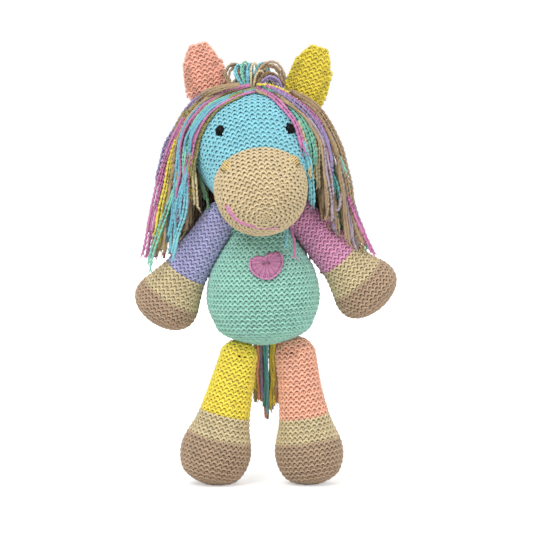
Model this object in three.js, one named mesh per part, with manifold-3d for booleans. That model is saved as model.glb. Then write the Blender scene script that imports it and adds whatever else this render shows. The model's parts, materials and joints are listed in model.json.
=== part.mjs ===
// A crocheted toy horse with a yarn mane and tail, standing upright.
// Millimetres, +Z up, face towards -Y, the yellow leg and purple arm on the -X side.
// Every sewn piece is its own solid; covers are thin shells round separate stuffing.
import * as THREE from 'three';
import { mergeVertices } from 'three/addons/utils/BufferGeometryUtils.js';
import Module from 'manifold-3d';

const wasm = await Module();
wasm.setup();

// Fabric and fit
const fabric = 3;
const clearance = 0.3;
const stuffingEase = 0.6;
const overrun = 40;

// Body: a pear that narrows into the neck
const bodyWidth = 95.8;
const bodyHeight = 115.6;
const bodyLean = THREE.MathUtils.degToRad(2.2);
const pearHeightShares = [0, 0.08, 0.191, 0.345, 0.536, 0.669, 0.83];
const pearRadiusShares = [0, 0.697, 0.896, 1, 0.929, 0.766, 0.535];
const neckHeightShares = [0.94, 1.03, 1.1];
const neckRadiusShare = 0.449;

// Head: a ball with a muzzle on a sloping axis
const headRadius = 51;
const headForward = 8;
const headAside = -8.2;
const muzzlePitch = THREE.MathUtils.degToRad(40);
const muzzleYaw = THREE.MathUtils.degToRad(7);
const muzzleReach = 88.4;
const muzzleRadius = 38.6;
const colourChange = 40;
const ballAngles = [45, 75, 100].map(THREE.MathUtils.degToRad);
const muzzleReachShares = [0.45, 0.595, 0.77, 0.885, 0.968];
const muzzleRadiusShares = [1.01, 0.995, 0.905, 0.705, 0.4];
const neckTurn = THREE.MathUtils.degToRad(20);
const nodDown = THREE.MathUtils.degToRad(5);
const nodUp = THREE.MathUtils.degToRad(20);
const neckPlugRadius = 8;
const neckPlugDepth = 16;

// Face, placed as seen from the front, from the middle of the head
const eyeDiameter = 8;
const eyeRise = 3.2;
const eyeHeights = [15.4, 16.9];
const eyeAsides = [-28.8, 28.7];
const eyePostRadius = 1.5;
const washerRadius = 5;
const washerThickness = 1.5;
const nostrilAsides = [-26.4, 33.2];
const nostrilHeights = [-15.3, -9.4];
const nostrilSize = [3.6, 2.4, 1.9];
const mouthAsides = [-23, -15.3, -3.4, 8, 20, 31.5];
const mouthHeights = [-46.8, -57, -62.6, -64.5, -64, -61];
const mouthThread = 1.1;

// Ears: flat leaves, cupped a little towards the front
const earLength = 63.5;
const earWidth = 37;
const earThickness = 7;
const earCup = 4;
const earRoot = 4;
const earPlaces = [-45, 47.5].map(THREE.MathUtils.degToRad);
const earLeans = [-14, 17].map(THREE.MathUtils.degToRad);
const earBack = THREE.MathUtils.degToRad(25);
const earFront = THREE.MathUtils.degToRad(15);
const earHeightShares = [0.1, 0.28, 0.5, 0.7, 0.86, 0.96];
const earWidthShares = [0.76, 0.95, 1, 0.9, 0.68, 0.4];

// Arms: a seam ring, then a ball top, a sleeve, a cuff and a round hoof
const armBallRadius = 14;
const armSeatShare = 0.926;
const armSeatTurn = THREE.MathUtils.degToRad(12);
const armLength = 108;
const armWidth = 56;
const arms = [
  { side: 'left', lengthShare: 1, widthShare: 1, cuffShare: 0.509, hoofShare: 0.722, tilt: 32, back: 13,
    sleeveColour: 0x9c97cb },
  { side: 'right', lengthShare: 0.981, widthShare: 1.018, cuffShare: 0.462, hoofShare: 0.67, tilt: 41,
    back: 11, sleeveColour: 0xcf88b5 },
];
const armLengthShares = [0.18, 0.36, 0.52, 0.66, 0.78, 0.88, 0.96];
const armRadiusShares = [0.54, 0.62, 0.67, 0.83, 0.985, 0.95, 0.64];

// Legs: the same build, set under the body
const legLength = 111.7;
const legWidth = 59.5;
const legBallRadius = 16;
const legs = [
  { side: 'left', widthShare: 1, ballShare: 1, cuffShare: 0.436, hoofShare: 0.618, tilt: 13.5,
    seatShare: 0.39, colour: 0xf2dc4e },
  { side: 'right', widthShare: 0.966, ballShare: 1.075, cuffShare: 0.445, hoofShare: 0.632, tilt: 8,
    seatShare: 0.428, colour: 0xf5a98c },
];
const legLengthShares = [0.22, 0.39, 0.52, 0.63, 0.74, 0.86, 0.95];
const legRadiusShares = [0.615, 0.69, 0.78, 0.92, 1, 0.92, 0.66];
const soleFlat = 0.5;

// Seam rings of yarn that the limbs turn on
const seamYarn = 4;
const seamSides = 5;
const ballTopAngles = [0, 35, 70, 95].map(THREE.MathUtils.degToRad);
const shoulderSeamShare = 0.86;
const hipSeamShare = 0.42;
const armSpread = THREE.MathUtils.degToRad(35);
const armForward = THREE.MathUtils.degToRad(60);
const armBack = THREE.MathUtils.degToRad(15);
const legForward = THREE.MathUtils.degToRad(90);
const legFolded = THREE.MathUtils.degToRad(58);
const hipIn = THREE.MathUtils.degToRad(20);
const hipOut = THREE.MathUtils.degToRad(30);
const ballSink = 1;
const swingSteps = 6;
const spreadSteps = 3;

// Heart on the chest
const heartWidth = 31;
const heartHeight = 26;
const heartThickness = 2.6;
const heartAside = 2;
const heartRise = 68;
const heartSteps = 6;
const heartStartShares = [0, 0.3];
const heartShares = [
  [[0.12, 0.52], [0.98, 0.56], [1, 0.12]],
  [[1, -0.16], [0.42, -0.38], [0, -0.48]],
  [[-0.42, -0.38], [-1, -0.16], [-1, 0.12]],
  [[-0.98, 0.56], [-0.12, 0.52], [0, 0.3]],
];
const heartRoll = THREE.MathUtils.degToRad(14);

// Mane: locks as shares of the head's radius, from the middle of the head, for the -X side
const lockSides = 8;
const lockSteps = 9;
const maneLocks = [
  { name: 'front', wide: 12, thick: 6, 
    pathShares: [[-0.14, -0.3, 1.1], [-0.42, -0.42, 0.99], [-0.74, -0.46, 0.74], [-0.98, -0.4, 0.42],
      [-1.1, -0.28, 0], [-1.12, -0.14, -0.42], [-1.1, -0.02, -0.78]] },
  { name: 'side', wide: 15, thick: 9, 
    pathShares: [[-0.16, 0.36, 1.13], [-0.56, 0.42, 1.06], [-1, 0.42, 0.74], [-1.27, 0.3, 0.3],
      [-1.36, 0.16, -0.12], [-1.38, 0.12, -0.5], [-1.34, 0.14, -0.84]] },
  { name: 'rear', wide: 15, thick: 9, 
    pathShares: [[-0.1, 0.76, 0.9], [-0.6, 0.86, 0.74], [-1.02, 0.86, 0.3], [-1.3, 0.8, -0.2],
      [-1.46, 0.8, -0.72], [-1.56, 0.84, -1.3], [-1.62, 0.86, -1.86]] },
  { name: 'back', wide: 17, thick: 8, 
    pathShares: [[-0.08, 1.04, 0.52], [-0.36, 1.13, 0.3], [-0.62, 1.16, -0.1], [-0.72, 1.18, -0.6],
      [-0.74, 1.22, -1.1], [-0.72, 1.26, -1.66]] },
];
const lockWidthShares = [0.5, 0.8, 1, 1, 1, 0.9, 0.7];
const maneHingeAside = 0.1;
const maneHingeProud = 0.05;
const maneLift = THREE.MathUtils.degToRad(20);
const crownWide = 14;
const crownDeep = 8.5;
const crownTall = 11;
const crownAside = 14;
const rootWide = 3.2;
const rowShares = [0.8, 1, 1, 0.8];
const rootThick = 2.4;
const rootStart = THREE.MathUtils.degToRad(-8);
const rootEnd = THREE.MathUtils.degToRad(74);

// Tail: a knot on the back of the body with three locks
const tailKnot = 6.5;
const tailLift = THREE.MathUtils.degToRad(50);
const tailSeatShare = 0.19;
const tailLength = 88;
const tailWide = 5.5;
const tailThick = 6;
const tailSpread = 9.5;
const tailAside = 2.5;
const tailReachShares = [0.05, 0.3, 0.6, 0.85, 1];
const tailOutShares = [0.08, 0.11, 0.12, 0.12, 0.13];

// How finely the pieces are cut
const bodySides = 20;
const limbSides = 14;
const smallSides = 10;
const bodySteps = 12;
const headSteps = 14;
const domeSteps = 5;
const mouthSteps = 14;
const threadSteps = 3;
const rowSteps = 9;
const searchSteps = 40;
const fitSteps = 6;
const smallShare = 1e-3;
const limbSteps = [7, 1, 2, 1, 5];

// Colours and finishes
const skyBlue = 0x7fd0e0;
const oatmeal = 0xd9c59a;
const mint = 0x8fd3be;
const cuffColour = 0xd2c296;
const hoofColour = 0xb5997c;
const heartColour = 0xce72a6;
const mouthColour = 0xd98fb4;
const fibreColour = 0xf1efe8;
const eyeColour = 0x0b0b0d;
const washerColour = 0x1a1a1c;
const earColours = [0xf3ae98, 0xf0d84a];
const maneColours = { front: 0xb89d7a, side: 0xc487ac, rear: 0xc2ab84, back: 0x8ecbc8 };
const tailColours = [0x57b7c6, 0xe3c94c, 0xa78fbf];

const up = new THREE.Vector3(0, 0, 1);
const vector = (x, y, z) => new THREE.Vector3(x, y, z);
const sideNames = ['left', 'right'];
const group = new THREE.Group();

// Soft wool and cotton are rough; the eyes are hard and glossy
function clothMaterial(colour) {
  return new THREE.MeshStandardMaterial({ color: colour, roughness: 0.9, metalness: 0 });
}

function shinyMaterial(colour) {
  return new THREE.MeshStandardMaterial({ color: colour, roughness: 0.12, metalness: 0 });
}

// Turns any closed three.js geometry into a solid that can be joined and cut
function toSolid(geometry) {
  const bare = new THREE.BufferGeometry();
  bare.setAttribute('position', geometry.getAttribute('position').clone());
  bare.setIndex(geometry.index);
  const merged = mergeVertices(bare, clearance * smallShare);
  const corners = merged.index.array;
  const kept = [];
  for (let i = 0; i < corners.length; i += 3) {
    const [a, b, c] = [corners[i], corners[i + 1], corners[i + 2]];
    if (a !== b && b !== c && c !== a) kept.push(a, b, c);
  }
  const mesh = new wasm.Mesh({
    numProp: 3,
    vertProperties: Float32Array.from(merged.getAttribute('position').array),
    triVerts: Uint32Array.from(kept),
  });
  const solid = new wasm.Manifold(mesh);
  if (solid.volume() > 0) return solid;
  for (let i = 0; i < kept.length; i += 3) [kept[i], kept[i + 1]] = [kept[i + 1], kept[i]];
  mesh.triVerts = Uint32Array.from(kept);
  return new wasm.Manifold(mesh);
}

function toGeometry(solid) {
  const mesh = solid.getMesh();
  const geometry = new THREE.BufferGeometry();
  geometry.setAttribute('position', new THREE.BufferAttribute(mesh.vertProperties, 3));
  geometry.setIndex(new THREE.BufferAttribute(mesh.triVerts, 1));
  geometry.computeVertexNormals();
  return geometry;
}

// A cut can leave crumbs, so the largest piece is the one that is kept
function largest(solid) {
  const pieces = solid.decompose();
  return pieces.reduce((best, piece) => (piece.volume() > best.volume() ? piece : best));
}

function addPiece(name, solid, material) {
  const mesh = new THREE.Mesh(toGeometry(largest(solid)), material);
  mesh.name = name;
  group.add(mesh);
}

const moved = (solid, matrix) => solid.transform(matrix.elements);
const join = (solids) => solids.reduce((all, solid) => all.add(solid));
const cut = (solid, cutters) => cutters.reduce((left, cutter) => left.subtract(cutter), solid);

// Even steps of an angle from one value to another
const steps = (from, to, count) => Array.from({ length: count + 1 }, (_, k) => from + ((to - from) * k) / count);

// The space that a solid passes through as it turns about a line
function swept(solid, pivot, axis, angles) {
  return join(angles.map((angle) => {
    const there = new THREE.Matrix4().makeTranslation(pivot.x, pivot.y, pivot.z);
    const turn = new THREE.Matrix4().makeRotationAxis(axis, angle);
    const back = new THREE.Matrix4().makeTranslation(-pivot.x, -pivot.y, -pivot.z);
    return moved(solid, there.multiply(turn).multiply(back));
  }));
}

// A round soft form: knots of [distance along the axis, radius] from pole to pole.
// Mirrored end knots keep the poles round.
class RoundForm {
  constructor(knots) {
    this.knots = knots;
    const last = knots.length - 1;
    const all = [[knots[1][0], -knots[1][1]], ...knots, [knots[last - 1][0], -knots[last - 1][1]]];
    this.curve = new THREE.SplineCurve(all.map(([along, radius]) => new THREE.Vector2(radius, along)));
    this.spans = last;
  }

  // share runs from 0 at the first pole to 1 at the last; inset is measured square to the surface
  point(share, inset = 0) {
    const at = (s) => this.curve.getPoint((1 + s * this.spans) / (this.spans + 2));
    const step = smallShare;
    const here = at(share);
    const slope = at(Math.min(share + step, 1)).sub(at(Math.max(share - step, 0))).normalize();
    const x = here.x - slope.y * inset;
    const onAxis = share < step || share > 1 - step;
    return new THREE.Vector2(onAxis ? 0 : Math.max(x, 0), here.y + slope.x * inset);
  }

  // the share at which the surface is this far along the axis, past the widest point or before it
  shareAt(along, low = 0, high = 1) {
    let [a, b] = [low, high];
    for (let i = 0; i < searchSteps; i += 1) {
      const middle = (a + b) / 2;
      if (this.point(middle).y < along) a = middle;
      else b = middle;
    }
    return (a + b) / 2;
  }

  radiusAt(along) {
    return this.point(this.shareAt(along)).x;
  }

  // marks where the form is cut across, so that every solid made from it has the same rings
  divide(breaks, steps) {
    this.shares = [0];
    this.marks = [0];
    for (let k = 0; k + 1 < breaks.length; k += 1) {
      for (let i = 1; i <= steps[k]; i += 1) {
        this.shares.push(breaks[k] + ((breaks[k + 1] - breaks[k]) * i) / steps[k]);
      }
      this.marks.push(this.shares.length - 1);
    }
    return this;
  }

  // a full solid, smaller by inset all over
  solid(inset, sides) {
    return toSolid(new THREE.LatheGeometry(this.shares.map((share) => this.point(share, inset)), sides));
  }

  // a wall of fabric between two marks, open wherever it doesn't reach a pole
  wall(from, to, thickness, sides) {
    const chosen = this.shares.slice(this.marks[from], this.marks[to] + 1);
    const outer = chosen.map((share) => this.point(share));
    const inner = chosen.map((share) => this.point(share, thickness)).reverse();
    const points = [...outer, ...inner];
    if (points[0].x > 0 || points[points.length - 1].x > 0) points.push(points[0].clone());
    return toSolid(new THREE.LatheGeometry(points, sides));
  }
}

// Lathes turn round +Y, so this lays +Y along a direction from a place
function placeAlong(place, direction) {
  const turn = new THREE.Quaternion().setFromUnitVectors(vector(0, 1, 0), direction);
  return new THREE.Matrix4().compose(place, turn, vector(1, 1, 1));
}

// A closed body lofted through rings of points, with a point at each end
function loft(rings, start, end) {
  const sides = rings[0].length;
  const positions = [...rings.flat(), start, end].flatMap((p) => [p.x, p.y, p.z]);
  const startIndex = rings.length * sides;
  const index = [];
  for (let k = 0; k < sides; k += 1) {
    const next = (k + 1) % sides;
    index.push(startIndex, next, k);
    for (let i = 0; i + 1 < rings.length; i += 1) {
      const [low, high] = [i * sides, (i + 1) * sides];
      index.push(low + k, low + next, high + next, low + k, high + next, high + k);
    }
    const top = (rings.length - 1) * sides;
    index.push(startIndex + 1, top + k, top + next);
  }
  const geometry = new THREE.BufferGeometry();
  geometry.setAttribute('position', new THREE.Float32BufferAttribute(positions, 3));
  geometry.setIndex(index);
  return toSolid(geometry);
}

// Body and neck
const bodyRadius = bodyWidth / 2;
const neckRadius = neckRadiusShare * bodyRadius;
const bodyKnots = [
  ...pearHeightShares.map((share, i) => [share * bodyHeight, pearRadiusShares[i] * bodyRadius]),
  ...neckHeightShares.map((share) => [share * bodyHeight, neckRadius]),
];
bodyKnots.push([bodyKnots[bodyKnots.length - 1][0] + clearance, 0]);
const bodyForm = new RoundForm(bodyKnots).divide([0, 1], [bodySteps]);
const bodyAxis = vector(-Math.sin(bodyLean), 0, Math.cos(bodyLean));
const bodyPlace = placeAlong(vector(0, 0, 0), bodyAxis);

// A point on the body's surface at a share of its outline, turned from straight ahead, and its normal
function onBody(share, azimuth) {
  const point = bodyForm.point(share);
  const out = bodyForm.point(share, -1).sub(point);
  const spin = vector(Math.sin(azimuth), 0, Math.cos(azimuth));
  const lathed = (p) => vector(p.x * spin.x, p.y, p.x * spin.z);
  const place = lathed(point).applyMatrix4(bodyPlace);
  const normal = lathed(out).transformDirection(bodyPlace);
  return { place, normal };
}

// The lathe's zero azimuth faces -Y once it is placed
const ahead = 0;
const ballOn = (seat, radius) => (
  seat.place.clone().addScaledVector(seat.normal, radius + clearance - ballSink));

// Head and muzzle
const headCentre = vector(headAside, -headForward, bodyHeight + headRadius);
const muzzleAxis = vector(
  Math.cos(muzzlePitch) * Math.sin(muzzleYaw),
  -Math.cos(muzzlePitch) * Math.cos(muzzleYaw),
  -Math.sin(muzzlePitch),
);
const headForm = new RoundForm([
  [-headRadius, 0],
  ...ballAngles.map((angle) => [-headRadius * Math.cos(angle), headRadius * Math.sin(angle)]),
  ...muzzleReachShares.map((share, i) => [share * muzzleReach, muzzleRadiusShares[i] * muzzleRadius]),
  [muzzleReach, 0],
]);
const change = headForm.shareAt(colourChange);
const changeEnd = headForm.shareAt(colourChange + clearance);
headForm.divide([0, change, changeEnd, 1], [headSteps / 2, 1, headSteps / 2]);
const headPlace = placeAlong(headCentre, muzzleAxis);
const headSolid = (inset, sides = bodySides) => moved(headForm.solid(inset, sides), headPlace);
const nodAxis = vector(-1, 0, 0);
const headWhole = headSolid(-clearance);
const headNods = swept(headSolid(-2 * clearance), headCentre, nodAxis, [-nodDown, nodUp / 2, nodUp]);
const headRoom = swept(headNods, headCentre, up, [-neckTurn, 0, neckTurn]);

const headShell = moved(headForm.wall(0, 1, fabric, bodySides), headPlace);
const muzzleShell = moved(headForm.wall(2, 3, fabric, bodySides), headPlace);

// The point of the head's surface in front of a place given from its middle, and the normal there
function onFace(aside, height) {
  const inside = (depth) => {
    const offset = vector(aside, -depth, height);
    const along = offset.dot(muzzleAxis);
    if (along <= -headRadius || along >= muzzleReach) return false;
    return offset.addScaledVector(muzzleAxis, -along).length() < headForm.radiusAt(along);
  };
  let [near, far] = [0, muzzleReach + headRadius];
  while (far - near > smallShare * eyeRise) {
    const middle = (near + far) / 2;
    if (inside(middle)) near = middle;
    else far = middle;
  }
  const offset = vector(aside, -near, height);
  const along = offset.dot(muzzleAxis);
  const share = headForm.shareAt(along);
  const out = headForm.point(share, -1).sub(headForm.point(share));
  const radial = offset.clone().addScaledVector(muzzleAxis, -along).normalize();
  const normal = radial.multiplyScalar(out.x).addScaledVector(muzzleAxis, out.y).normalize();
  return { place: offset.add(headCentre), normal };
}

// Eyes: a dome outside, a post through the fabric and a washer inside
const eyeRadius = eyeDiameter / 2;
const eyes = sideNames.map((side, i) => {
  const seat = onFace(eyeAsides[i], eyeHeights[i]);
  const base = seat.place.clone().addScaledVector(seat.normal, clearance);
  const place = placeAlong(base, seat.normal);
  const facets = 2 * headRadius * (1 - Math.cos(Math.PI / bodySides));
  const washerTop = -(2 * clearance + fabric + facets);
  const washerLow = washerTop - washerThickness;
  const post = clearance - washerLow;
  const dome = [new THREE.Vector2(0, -post), new THREE.Vector2(eyePostRadius, -post),
    new THREE.Vector2(eyePostRadius, 0)];
  for (let k = 0; k <= domeSteps; k += 1) {
    const angle = (k / domeSteps) * (Math.PI / 2);
    const radius = k === domeSteps ? 0 : eyeRadius * Math.cos(angle);
    dome.push(new THREE.Vector2(radius, eyeRise * Math.sin(angle)));
  }
  const bore = eyePostRadius + clearance;
  const drill = new THREE.CylinderGeometry(bore, bore, overrun, smallSides);
  const ring = [[bore, washerLow], [washerRadius, washerLow], [washerRadius, washerTop],
    [bore, washerTop], [bore, washerLow]].map(([r, h]) => new THREE.Vector2(r, h));
  const room = washerRadius + clearance;
  const pocket = new THREE.CylinderGeometry(room, room, overrun, smallSides);
  pocket.translate(0, overrun / 2 - post - clearance, 0);
  return {
    side,
    dome: moved(toSolid(new THREE.LatheGeometry(dome, smallSides)), place),
    washer: moved(toSolid(new THREE.LatheGeometry(ring, smallSides)), place),
    drill: moved(toSolid(drill), place),
    pocket: moved(toSolid(pocket), place),
  };
});
addPiece('head_cover', cut(headShell, eyes.map((eye) => eye.drill)), clothMaterial(skyBlue));
addPiece('muzzle_cover', muzzleShell, clothMaterial(oatmeal));
const headFill = headSolid(fabric + stuffingEase, bodySides / 2);
addPiece('head_stuffing', cut(headFill, eyes.map((eye) => eye.pocket)), clothMaterial(fibreColour));
eyes.forEach((eye) => {
  addPiece(`eye_${eye.side}`, eye.dome, shinyMaterial(eyeColour));
  addPiece(`eye_washer_${eye.side}`, eye.washer, shinyMaterial(washerColour));
});

// Nostrils: small embroidered pads
sideNames.forEach((side, i) => {
  const seat = onFace(nostrilAsides[i], nostrilHeights[i]);
  const [wide, tall, proud] = nostrilSize;
  const pad = new THREE.SphereGeometry(1, smallSides, smallSides / 2);
  pad.scale(wide, proud, tall);
  const base = seat.place.clone().addScaledVector(seat.normal, clearance);
  const lifted = cut(moved(toSolid(pad), placeAlong(base, seat.normal)), [headWhole]);
  addPiece(`nostril_${side}`, lifted, clothMaterial(oatmeal));
});

// Mouth: one line of thread laid on the muzzle
const mouthPath = new THREE.CatmullRomCurve3(mouthAsides.map((aside, i) => {
  const seat = onFace(aside, mouthHeights[i]);
  return seat.place.addScaledVector(seat.normal, mouthThread / 2 + clearance);
}));
const threadSection = new THREE.Shape(new THREE.Path().absarc(0, 0, mouthThread / 2, 0, 2 * Math.PI)
  .getPoints(threadSteps));
const mouthLine = { steps: mouthSteps, extrudePath: mouthPath };
const mouth = toSolid(new THREE.ExtrudeGeometry(threadSection, mouthLine));
addPiece('mouth_stitch', cut(mouth, [headWhole]), clothMaterial(mouthColour));

// Ears: leaves that are cut to the ball for every angle that they flop through
const ears = sideNames.map((side, i) => {
  const out = vector(Math.sin(earPlaces[i]), 0, Math.cos(earPlaces[i]));
  const hinge = headCentre.clone().addScaledVector(out, headRadius + clearance);
  const axis = vector(Math.cos(earPlaces[i]), 0, -Math.sin(earPlaces[i]));
  const along = vector(Math.sin(earLeans[i]), 0, Math.cos(earLeans[i]));
  const across = vector(Math.cos(earLeans[i]), 0, -Math.sin(earLeans[i]));
  const start = hinge.clone().addScaledVector(along, -earRoot * 2);
  const ring = (heightShare, widthShare, grow) => {
    const half = (earWidth / 2) * widthShare + grow;
    const thick = earThickness / 2 + grow;
    const middle = start.clone().addScaledVector(along, earLength * heightShare);
    return Array.from({ length: smallSides }, (_, k) => {
      const angle = (2 * Math.PI * k) / smallSides;
      const cup = earCup * widthShare * Math.cos(angle) ** 2;
      return middle.clone().addScaledVector(across, half * Math.cos(angle))
        .add(vector(0, thick * Math.sin(angle) - cup, 0));
    });
  };
  const leaf = (grow) => loft(
    earHeightShares.map((share, k) => ring(share, earWidthShares[k], grow)),
    start.clone(),
    start.clone().addScaledVector(along, earLength + grow),
  );
  const ball = swept(headWhole, hinge, axis, [-earFront, 0, earBack / 2, earBack]);
  const solid = cut(leaf(0), [ball]);
  const spots = [-earBack, 0, earFront].map((angle) => swept(leaf(clearance * 2), hinge, axis, [angle]));
  const room = join(spots.slice(1).map((spot, k) => wasm.Manifold.hull([spot, spots[k]])));
  return { side, hinge, axis, solid, room, colour: earColours[i] };
});
ears.forEach((ear) => addPiece(`ear_${ear.side}`, ear.solid, clothMaterial(ear.colour)));

// Limbs: a round form from a ball top to the hoof, in three covers round one stuffing
function limbForm(ballRadius, length, halfWidth, lengthShares, radiusShares) {
  const ball = ballTopAngles.map((angle) => [-ballRadius * Math.cos(angle), ballRadius * Math.sin(angle)]);
  const rest = lengthShares.map((share, i) => [share * length, radiusShares[i] * halfWidth]);
  return new RoundForm([...ball, ...rest, [length, 0]]);
}

function limbPieces(form, place, cuffStart, hoofStart) {
  const half = clearance / 2;
  const breaks = [cuffStart - half, cuffStart + half, hoofStart - half, hoofStart + half]
    .map((along) => form.shareAt(along));
  form.divide([0, ...breaks, 1], limbSteps);
  const cover = (from, to) => moved(form.wall(from, to, fabric, limbSides), place);
  return {
    upper: cover(0, 1),
    cuff: cover(2, 3),
    hoof: cover(4, 5),
    stuffing: moved(form.solid(fabric + stuffingEase, limbSides / 2), place),
    whole: moved(form.solid(-clearance, limbSides), place),
  };
}

// A ring of yarn lies between a ball top and the body, round the line through both
const seamTube = seamYarn / 2;
const seamDepth = (ballRadius, seamRadius) => (
  Math.sqrt((ballRadius + clearance + seamTube) ** 2 - seamRadius ** 2));

function seamRing(ball, outward, ballRadius, seamRadius) {
  const centre = ball.clone().addScaledVector(outward, -seamDepth(ballRadius, seamRadius));
  const profile = Array.from({ length: seamSides + 1 }, (_, k) => {
    const angle = (2 * Math.PI * (k % seamSides)) / seamSides;
    return new THREE.Vector2(seamRadius + seamTube * Math.cos(angle), seamTube * Math.sin(angle));
  });
  return moved(toSolid(new THREE.LatheGeometry(profile, smallSides)), placeAlong(centre, outward));
}

// A limb that folds right up past its seam ring needs room for it: a disc as wide as the ring,
// carried through the last of the swing
function ringRoom(ball, outward, ballRadius, seamRadius, from, to) {
  const radius = seamRadius + seamTube + clearance;
  const disc = new THREE.CylinderGeometry(radius, radius, ballRadius, smallSides);
  const inner = seamDepth(ballRadius, seamRadius) - seamTube - clearance;
  disc.translate(0, -inner - ballRadius / 2, 0);
  const solid = moved(toSolid(disc), placeAlong(ball, outward));
  return wasm.Manifold.hull([from, to].map((angle) => swept(solid, ball, flexAxis, [-angle])));
}

const bodySolid = (inset, sides = bodySides) => moved(bodyForm.solid(inset, sides), bodyPlace);
const bodyRoom = bodySolid(-clearance);
const bodyWide = bodySolid(-clearance * 2);

// Arms and legs swing about the line that runs across the toy
const flexAxis = vector(-1, 0, 0);
const armSolids = arms.map((arm, i) => {
  const sign = i ? 1 : -1;
  const seat = onBody(bodyForm.shareAt(armSeatShare * bodyHeight), ahead + sign * (Math.PI / 2 - armSeatTurn));
  const ball = ballOn(seat, armBallRadius);
  const tilt = THREE.MathUtils.degToRad(arm.tilt);
  const back = THREE.MathUtils.degToRad(arm.back);
  const direction = vector(sign * Math.tan(tilt), Math.sin(back), -Math.cos(back)).normalize();
  const length = armLength * arm.lengthShare;
  const halfWidth = (armWidth * arm.widthShare) / 2;
  const form = limbForm(armBallRadius, length, halfWidth, armLengthShares, armRadiusShares);
  const pieces = limbPieces(form, placeAlong(ball, direction), arm.cuffShare * armLength, arm.hoofShare * armLength);
  return { ...arm, seat, ball, pieces, spread: vector(0, -sign, 0), outward: vector(sign, 0, 0) };
});
armSolids.forEach((arm) => {
  const { side, pieces } = arm;
  const turned = [
    swept(bodyWide, arm.ball, flexAxis, steps(-armForward, armBack, swingSteps)),
    swept(headRoom, arm.ball, flexAxis, [0, armBack]),
  ];
  const nearby = [
    ...turned,
    swept(bodyWide, arm.ball, arm.spread, steps(-armSpread, 0, spreadSteps)),
    swept(swept(bodyWide, arm.ball, flexAxis, [-armForward]), arm.ball, arm.spread, [-armSpread]),
  ];
  const seam = seamRing(arm.ball, arm.outward, armBallRadius, armBallRadius * shoulderSeamShare);
  const sleeveRoom = swept(pieces.whole, arm.ball, arm.spread, steps(0, armSpread, spreadSteps));
  addPiece(`shoulder_seam_${side}`, cut(seam, [...turned, sleeveRoom]), clothMaterial(mint));
  addPiece(`arm_${side}_sleeve`, cut(pieces.upper, nearby), clothMaterial(arm.sleeveColour));
  addPiece(`arm_${side}_cuff`, cut(pieces.cuff, nearby), clothMaterial(cuffColour));
  addPiece(`arm_${side}_hoof`, pieces.hoof, clothMaterial(hoofColour));
  addPiece(`arm_${side}_stuffing`, cut(pieces.stuffing, nearby), clothMaterial(fibreColour));
});

// Legs: both soles meet the same ground, so the second leg takes the length that reaches it
const legPieces = (leg, place, length) => limbPieces(
  limbForm(leg.ballRadius, length, (legWidth * leg.widthShare) / 2, legLengthShares, legRadiusShares),
  place, leg.cuffShare * legLength, leg.hoofShare * legLength,
);
const lowest = (pieces) => pieces.hoof.boundingBox().min[2];
let ground = null;
const legSolids = legs.map((plan, i) => {
  const leg = { ...plan, ballRadius: legBallRadius * plan.ballShare };
  const sign = i ? 1 : -1;
  const tilt = THREE.MathUtils.degToRad(leg.tilt);
  let seatShare = 0;
  while (bodyForm.point(seatShare).x < leg.seatShare * bodyRadius) seatShare += smallShare;
  const seat = onBody(seatShare, ahead + sign * (Math.PI / 2));
  const ball = ballOn(seat, leg.ballRadius);
  const place = placeAlong(ball, vector(sign * Math.sin(tilt), 0, -Math.cos(tilt)));
  let length = legLength;
  let pieces = legPieces(leg, place, length);
  if (ground === null) ground = lowest(pieces);
  for (let k = 0; k < fitSteps; k += 1) {
    length += lowest(pieces) - ground;
    pieces = legPieces(leg, place, length);
  }
  return { ...leg, seat, ball, pieces };
});
const floorBlock = new THREE.BoxGeometry(legLength * 4, legLength * 4, overrun);
floorBlock.translate(0, 0, ground + soleFlat - overrun / 2);
const floor = toSolid(floorBlock);
legSolids.forEach((leg) => {
  const { side, pieces } = leg;
  const seamRadius = leg.ballRadius * hipSeamShare;
  const room = ringRoom(leg.ball, leg.seat.normal, leg.ballRadius, seamRadius, legFolded, legForward);
  const hipRoom = swept(bodyRoom, leg.ball, leg.seat.normal, [-hipIn, 0, hipOut]);
  const seam = seamRing(leg.ball, leg.seat.normal, leg.ballRadius, seamRadius);
  addPiece(`hip_seam_${side}`, cut(seam, [hipRoom]), clothMaterial(mint));
  addPiece(`leg_${side}_upper`, cut(pieces.upper, [bodyRoom, room]), clothMaterial(leg.colour));
  addPiece(`leg_${side}_cuff`, pieces.cuff, clothMaterial(cuffColour));
  addPiece(`leg_${side}_hoof`, cut(pieces.hoof, [floor]), clothMaterial(hoofColour));
  addPiece(`leg_${side}_stuffing`, pieces.stuffing, clothMaterial(fibreColour));
});

// Body cover, its stuffing and the firm plug of stuffing in the neck
const plugShape = (grow) => {
  const radius = neckPlugRadius + grow;
  const cylinder = new THREE.CylinderGeometry(radius, radius, headRadius + grow, smallSides);
  cylinder.translate(0, (headRadius + grow) / 2 - neckPlugDepth - grow, 0);
  return moved(toSolid(cylinder), placeAlong(vector(headCentre.x, headCentre.y, bodyHeight), up));
};
const bodyInner = bodySolid(fabric);
addPiece('body_cover', cut(bodySolid(0), [bodyInner, headRoom]), clothMaterial(mint));
const bodyFill = bodySolid(fabric + stuffingEase, bodySides / 2);
addPiece('body_stuffing', cut(bodyFill, [headRoom, plugShape(clearance * 3)]), clothMaterial(fibreColour));
addPiece('neck_stuffing', cut(plugShape(0), [headNods]), clothMaterial(fibreColour));

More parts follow.
